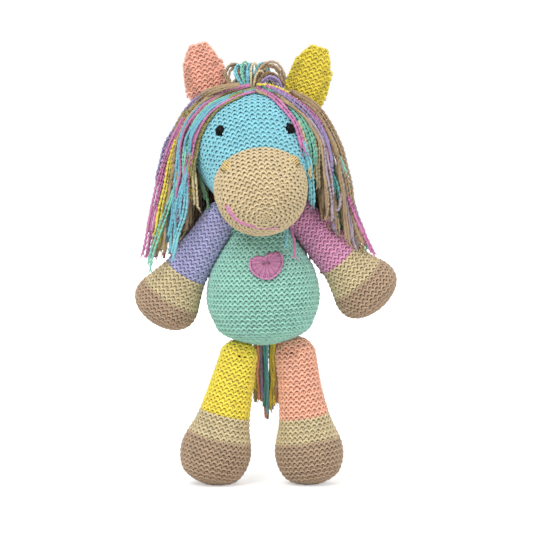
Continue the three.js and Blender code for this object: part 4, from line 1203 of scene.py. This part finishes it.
class HORSE_OT_mane(bpy.types.Operator):
    """Knots the strands of the mane along the middle of the head and lays them over both sides"""
    bl_idname = "horse.mane"
    bl_label = "Mane"
    rows, rear_from, side_from = 54, 98, 80

    def rows_over(self, side, chance):
        """The strands laid by rule, row by row: whether each is a rear one, its path and its colour."""
        for i in range(self.rows):
            t = i / (self.rows - 1)
            root, settle = -24 + 106 * t, 68 + 110 * t
            tint = HAIR[PALETTES[side][(i * 7 + chance.randrange(3)) % 17]]
            share = 0.08 + 0.92 * chance.random() ** 0.7
            rear = settle > self.rear_from
            if rear:
                end = (205 - 19 * share + chance.uniform(-1, 12)) * MM
            else:
                end = (226 - 24 * share if settle > self.side_from else 246 - 22 * share) * MM
            haste, leave = chance.uniform(15, 24), chance.uniform(86, 102)
            for k in range(4 if rear else 3):
                near = held(share + chance.uniform(-0.14, 0.12) - (0.5 if k == 3 else 0), 0.04)
                yield rear, tint, hair_path(
                    SIDES[side], root + chance.uniform(-1, 1), settle + chance.uniform(-2.5, 2.5), haste, near,
                    leave, end + chance.uniform(-2, 8) * MM, chance)

    def execute(self, context):
        thickness = context.scene.horse_sizes.strand
        arms = [Limb("arm", side) for side in SIDES]
        arm_bones = [(arm.hinge, arm.axis, arm.form) for arm in arms]
        bones = arm_bones + [(SEAT, BODY_AXIS, BODY_FORM), HEAD_BONE]
        look = wool("mane_yarn")
        rear_lines = []
        for side, sign in SIDES.items():
            chance = random.Random(100 + sign)
            lines = []

            def add(into, path, tint, fray):
                path = keep_off(path, bones)
                if side == "right" and into is lines:
                    path = cut_at_sleeve(path, arm_bones[1])
                into.append((path, frayed(path, thickness * chance.uniform(0.86, 1.1)), tint,
                             chance.uniform(0.9, 1.1)))
                if chance.random() < fray:
                    into.extend(end_wisps(path, tint, chance))

            for rear, tint, path in self.rows_over(side, chance):
                add(rear_lines if rear else lines, path, tint, 0.4)
            for _, name, many, lift, points in (lock for lock in LOCKS if lock[0] == side):
                path = traced(points, lift)
                for k in range(many):
                    loose = beside(path, (k - (many - 1) / 2) * 2.1, chance.uniform(0, 1.2), chance,
                                   chance.randrange(0, 3) if k else 0)
                    add(lines, loose, HAIR[name], 0.75)
            seated(strands(f"mane_{side}_strands", lines, look), f"mane_{side}", "mane_front",
                   f"mane_{side}_front", f"mane_{side}_side")
        made = strands("mane_rear_strands", rear_lines, look)
        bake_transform(made)
        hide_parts("mane_left_rear", "mane_left_back", "mane_right_rear", "mane_right_back")
        return {"FINISHED"}


# Loops of the crown: side, yarn, strands, then places with mm before the middle of the head.
LOOPS = (
    ("left", "taupe", 3, ((238, 92, 12), (230, 84, 12), (227, 75, 10), (231, 67, 7), (238, 67, 4), (239, 80, 2))),
    ("left", "sky", 2, ((247, 88, 16), (240, 82, 16), (236, 74, 14), (238, 67, 10), (243, 70, 6), (245, 84, 4))),
    ("left", "mint", 2, ((247, 88, 17), (243, 79, 17), (242, 70, 14), (245, 65, 10), (248, 70, 6), (247, 84, 4))),
    ("left", "blue", 2, ((248, 88, 17), (248, 79, 17), (249, 70, 14), (252, 66, 10), (252, 73, 6), (249, 84, 4))),
    ("left", "cream", 1, ((251, 88, 15), (251, 76, 15), (252, 67, 12), (256, 65, 9), (258, 74, 6), (255, 86, 4))),
    ("right", "cream", 1, ((254, 87, 15), (256, 77, 16), (261, 72, 14), (266, 78, 12), (268, 88, 10))),
    ("right", "taupe", 3, ((256, 87, 12), (258, 75, 12), (265, 67, 10), (274, 66, 8), (281, 73, 6), (285, 84, 4))),
    ("right", "brown", 2, ((257, 88, 16), (262, 78, 16), (269, 74, 14), (277, 77, 12), (284, 86, 8))),
    ("right", "lilac", 3, ((259, 88, 18), (264, 82, 19), (270, 79, 18), (277, 82, 16), (281, 90, 14))),
    ("right", "sky", 2, ((255, 87, 10), (256, 74, 9), (260, 66, 7), (266, 66, 4), (268, 76, 2))),
)
# Colours of the free loops behind them, from front to back.
FREE_LOOPS = ("taupe", "cream", "brown", "taupe", "lilac", "teal", "taupe", "fog", "cream")
KNOTS = 24


class HORSE_OT_crown(bpy.types.Operator):
    """Ties the row of knots and the loops that stand between the ears"""
    bl_idname = "horse.crown"
    bl_label = "Knots and loops"

    def knots(self, thickness, look, chance):
        lines = []
        for k in range(KNOTS):
            angle = math.radians(-9 + 84 * k / (KNOTS - 1))
            out, along = around(UP, BACK, angle), around(BACK, -UP, angle)
            base = HEAD + out * (HEAD_RADIUS + 0.6) * MM
            points = [base + (Vector((t * 4.2, 0, 0)) + out * (3.6 * (1 - t * t) - 0.2) + along * 0.8 * t) * MM
                      for t in (-1.1, -0.7, -0.25, 0.25, 0.7, 1.1)]
            lines.append((points, thickness * 0.9, HAIR[PALETTES["left"][(k * 5) % 17]], chance.uniform(0.85, 1.05)))
        seated(strands("mane_knot_loops", lines, look), "head", "mane_knots", "mane_knots")

    def free_loop(self, sign, i, chance):
        """One loop that rises from the crown and falls to its side."""
        root, turn = math.radians(-4 + 26 * i / 8), math.radians(chance.uniform(-30, 30))
        reach, tall = chance.uniform(8, 12), chance.uniform(14, 19)
        base = HEAD + around(UP, BACK, root) * (HEAD_RADIUS + 2) * MM
        points = []
        for j in range(15):
            a = math.pi * j / 14 * 1.12
            out = reach * (1 - math.cos(a))
            points.append(base + Vector((sign * out * math.cos(turn), out * math.sin(turn),
                                         tall * math.sin(a) * (1 - 0.25 * j / 14) - out * 0.28)) * MM)
        return points

    def execute(self, context):
        thickness = context.scene.horse_sizes.strand
        look = wool("mane_yarn")
        chance = random.Random(7)
        self.knots(thickness, look, chance)
        for side, sign in SIDES.items():
            lines = []
            for _, name, many, points in (loop for loop in LOOPS if loop[0] == side):
                path = traced(points)
                for k in range(many):
                    loose = beside(path, (k - (many - 1) / 2) * 1.9, 1.3 * k, chance)
                    lines.append((pushed_out(loose, [HEAD_BONE], 1.4 * MM), thickness * 0.92, HAIR[name],
                                  chance.uniform(0.92, 1.1)))
            for i, name in enumerate(FREE_LOOPS):
                points = pushed_out(self.free_loop(sign, i, chance), [HEAD_BONE], 1.6 * MM)
                lines.append((points, thickness, HAIR[name], chance.uniform(0.88, 1.05)))
            seated(strands(f"mane_crown_{side}_loops", lines, look), "head", "mane_crown", f"mane_crown_{side}")
        return {"FINISHED"}


# Strands of the tail: yarn, mm beside its middle, and length in mm.
# Layers of the tail: how many steps back each lies, and how many colours on it starts.
TAIL = (("olive", -12.5, 76), ("yellow", -9.4, 72), ("olive", -7.6, 80), ("peach", -5.4, 78), ("lilac", -3, 82),
        ("teal", -0.6, 88), ("blue", 1.8, 96), ("yellow", 4.6, 86), ("yellow", 7.2, 88), ("taupe", 9.6, 82),
        ("peach", 12.4, 80))
TAIL_LAYERS = ((0, 0), (1, 4), (2, 7))


class HORSE_OT_tail(bpy.types.Operator):
    """Ties the tail's knot and hangs its strands"""
    bl_idname = "horse.tail"
    bl_label = "Tail"

    def execute(self, context):
        thickness = context.scene.horse_sizes.strand
        hinge = pivot("tail_lift")
        chance = random.Random(9)
        lines = []
        for layer, later in TAIL_LAYERS:
            for i, (_, aside, end) in enumerate(TAIL):
                tint = HAIR[TAIL[(i + later) % len(TAIL)][0]]
                aside += chance.uniform(-1, 1)
                end *= chance.uniform(0.93, 1.0)
                points = []
                for t in (j / 21 for j in range(22)):
                    grow = min(1, t * 3)
                    sway = noise.noise_vector(Vector((i * 3.7 + layer * 9, t * 4, 1))) * 1.6 * grow
                    points.append(hinge + (Vector((aside * (0.25 + 0.75 * grow), -3 + layer * 3.2 * grow
                                                   + 4 * min(1, t * 2.5), 4 - end * t)) + sway) * MM)
                lines.append((points, frayed(points, thickness * 1.15), tint, chance.uniform(0.95, 1.15)))
                if i % 2:
                    lines += end_wisps(points, tint, chance, 4)
        for k in range(5):
            turn = math.pi * k / 5
            across = Vector((math.cos(turn), math.sin(turn) * 0.8, 0))
            ring = [hinge + around(across, UP, a) * 5.2 * MM for a in full_turn(16)]
            lines.append((ring + ring[:1], thickness, HAIR["mint"], 0.95))
        seated(strands("tail_strands", lines, wool("mane_yarn")), "tail", "mane_tail",
               "tail_knot", "tail_left", "tail_middle", "tail_right")
        return {"FINISHED"}


class HORSE_OT_seams(bpy.types.Operator):
    """Sews a ring of yarn round the root of each limb"""
    bl_idname = "horse.seams"
    bl_label = "Seams"
    sectors, widest_gap, hip_height = 20, 6 * MM, 60 * MM

    def ring(self, kind, side, spots):
        """The middle of the seam's solid, sector by sector round the limb's root."""
        middle = sum(spots, Vector()) / len(spots)
        limb = pivot(LIMBS[kind, side]["hinge"].format(side))
        height = (limb - SEAT).dot(BODY_AXIS) if kind == "arm" else self.hip_height
        out = (limb - (SEAT + BODY_AXIS * height)).normalized()
        first = out.cross(BACK).normalized()
        second = out.cross(first)
        ring = {}
        for spot in spots:
            offset = spot - middle
            turn = math.atan2(offset.dot(second), offset.dot(first)) / (2 * math.pi)
            ring.setdefault(int(turn % 1 * self.sectors), []).append(spot)
        return [sum(ring[k], Vector()) / len(ring[k]) for k in sorted(ring)]

    def execute(self, context):
        look = wool("seam_yarn")
        tint = tuple(context.scene.horse_yarns.body)
        for root, kind in (("shoulder", "arm"), ("hip", "leg")):
            for side in SIDES:
                node = f"{root}_seam_{side}"
                path = self.ring(kind, side, [v.co for v in frame["nodes"][node].data.vertices])
                gaps = [(b - a).length for a, b in zip(path, path[1:] + path[:1])]
                widest = gaps.index(max(gaps)) + 1
                path = path + path[:2] if max(gaps) < self.widest_gap else path[widest:] + path[:widest]
                line = (eased(smoothed(path, 1), 40), 1.5 * MM, tint, 0.85)
                seated(strands(f"{root}_{side}_seam_thread", [line], look), f"{root}_{side}", "body_yarn", node)
        return {"FINISHED"}


class HORSE_OT_filling(bpy.types.Operator):
    """Gives the hidden stuffing and washers their materials"""
    bl_idname = "horse.filling"
    bl_label = "Stuffing and washers"

    def execute(self, context):
        fibre = wool("stuffing_fibre", colour("f1efe8"), drift=0.05)
        for name, node in frame["nodes"].items():
            if name.endswith("_stuffing") or "washer" in name:
                node.data.materials.clear()
                node.data.materials.append(bpy.data.materials["eye_plastic"] if "washer" in name else fibre)
        return {"FINISHED"}


# ---------------------------------------------------------------- stage

# Lamps: name, place, size and power.
LAMPS = (("key", (-0.7, -1.4, 1.6), 1.1, 24), ("fill", (1.3, -1.1, 0.8), 1.6, 8), ("rim", (0.3, 1.4, 1.5), 1.4, 8))
LAMP_AIM = Vector((0, 0, 0.18))
CAMERA_AWAY, CAMERA_LIFT = 1.8, math.radians(3)
FLOOR_REACH = 6
WHITE, PAPER = (1, 1, 1, 1), (0.8, 0.8, 0.8, 1)


def placed(name, data, place, aim):
    """A lamp or the camera at a place, turned to what it looks at."""
    holder = linked(name, data)
    holder.location = place
    holder.rotation_euler = (aim - holder.location).to_track_quat("-Z", "Y").to_euler()
    return holder


class HORSE_OT_stage(bpy.types.Operator):
    """Sets the camera, the lamps and a plain white floor"""
    bl_idname = "horse.stage"
    bl_label = "Studio"

    def world(self, scene):
        """Soft light all round, and plain white where the camera or a reflection sees it."""
        world = scene.world = bpy.data.worlds.new("studio")
        world.use_nodes = True
        nodes, add = world.node_tree.nodes, functools.partial(wired, world.node_tree)
        soft = add(nodes["Background"], {"Color": WHITE, "Strength": 0.6})[0]
        bright = add("ShaderNodeBackground", {"Color": WHITE, "Strength": 1})[0]
        path = add("ShaderNodeLightPath")
        seen = maths(add, "MAXIMUM", path["Is Camera Ray"], path["Is Glossy Ray"])
        mixed = add("ShaderNodeMixShader", {"Fac": seen, 1: soft, 2: bright})[0]
        add(nodes["World Output"], {"Surface": mixed})

    def floor(self):
        """White paper that keeps the shadow near the object and glows white further out."""
        r = FLOOR_REACH
        floor = new_object("floor", [(-r, -r, 0), (r, -r, 0), (r, r, 0), (-r, r, 0)], [[0, 1, 2, 3]])
        paper, add, shader = new_material("floor_paper")
        place = add("ShaderNodeTexCoord")["Object"]
        away = add("ShaderNodeVectorMath", {0: place}, operation="LENGTH")["Value"]
        fade = add("ShaderNodeMapRange", {
            "Value": away, "From Min": 0.35, "From Max": 1.6, "To Min": 0.45, "To Max": 1.0},
            interpolation_type="SMOOTHSTEP")["Result"]
        seen = maths(add, "MULTIPLY", fade, add("ShaderNodeLightPath")["Is Camera Ray"])
        glow = add("ShaderNodeEmission", {"Strength": seen})[0]
        plain = add(shader, {"Roughness": 0.9, "Base Color": PAPER})[0]
        both = add("ShaderNodeAddShader", {0: plain, 1: glow})[0]
        add(paper.node_tree.nodes["Material Output"], {"Surface": both})
        floor.data.materials.append(paper)

    def execute(self, context):
        scene = context.scene
        scene.view_settings.view_transform = "Standard"
        camera = bpy.data.cameras.new("camera")
        camera.lens, camera.sensor_width, camera.clip_end = 143, 36, 20
        x, z = seen_at(266.5, 266.5)
        aim = Vector((x, 0, z))
        scene.camera = placed("camera", camera, aim + around(-BACK, UP, CAMERA_LIFT) * CAMERA_AWAY, aim)
        for name, place, size, power in LAMPS:
            lamp = bpy.data.lights.new(name, "AREA")
            lamp.size, lamp.energy = size, power
            placed(name, lamp, place, LAMP_AIM)
        self.world(scene)
        self.floor()
        return {"FINISHED"}


class HORSE_PT_panel(bpy.types.Panel):
    """Lists the pieces of the horse"""
    bl_idname = "HORSE_PT_panel"
    bl_label = "Crocheted Horse"
    bl_space_type = "VIEW_3D"
    bl_region_type = "UI"
    bl_category = "Horse"

    def draw(self, context):
        layout = self.layout
        for group in (context.scene.horse_yarns, context.scene.horse_sizes):
            box = layout.box()
            for name in group.__annotations__:
                box.prop(group, name)
        for piece in PIECES:
            layout.operator(piece.bl_idname, text=piece.bl_label)


PIECES = (HORSE_OT_stage, HORSE_OT_head, HORSE_OT_body, HORSE_OT_arms, HORSE_OT_legs, HORSE_OT_ears,
          HORSE_OT_heart, HORSE_OT_face, HORSE_OT_mane, HORSE_OT_crown, HORSE_OT_tail, HORSE_OT_seams,
          HORSE_OT_filling)
CLASSES = (HorseYarns, HorseSizes) + PIECES + (HORSE_PT_panel,)


def register():
    for item in CLASSES:
        bpy.utils.register_class(item)
    bpy.types.Scene.horse_yarns = bpy.props.PointerProperty(type=HorseYarns)
    bpy.types.Scene.horse_sizes = bpy.props.PointerProperty(type=HorseSizes)


def unregister():
    del bpy.types.Scene.horse_sizes
    del bpy.types.Scene.horse_yarns
    for item in reversed(CLASSES):
        bpy.utils.unregister_class(item)


def main():
    register()
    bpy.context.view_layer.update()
    bpy.ops.horse.stage()
    bpy.ops.horse.head()
    bpy.ops.horse.body()
    bpy.ops.horse.arms()
    bpy.ops.horse.legs()
    bpy.ops.horse.ears()
    bpy.ops.horse.heart()
    bpy.ops.horse.face()
    bpy.ops.horse.mane()
    bpy.ops.horse.crown()
    bpy.ops.horse.tail()
    bpy.ops.horse.seams()
    bpy.ops.horse.filling()


if __name__ == "__main__":
    main()
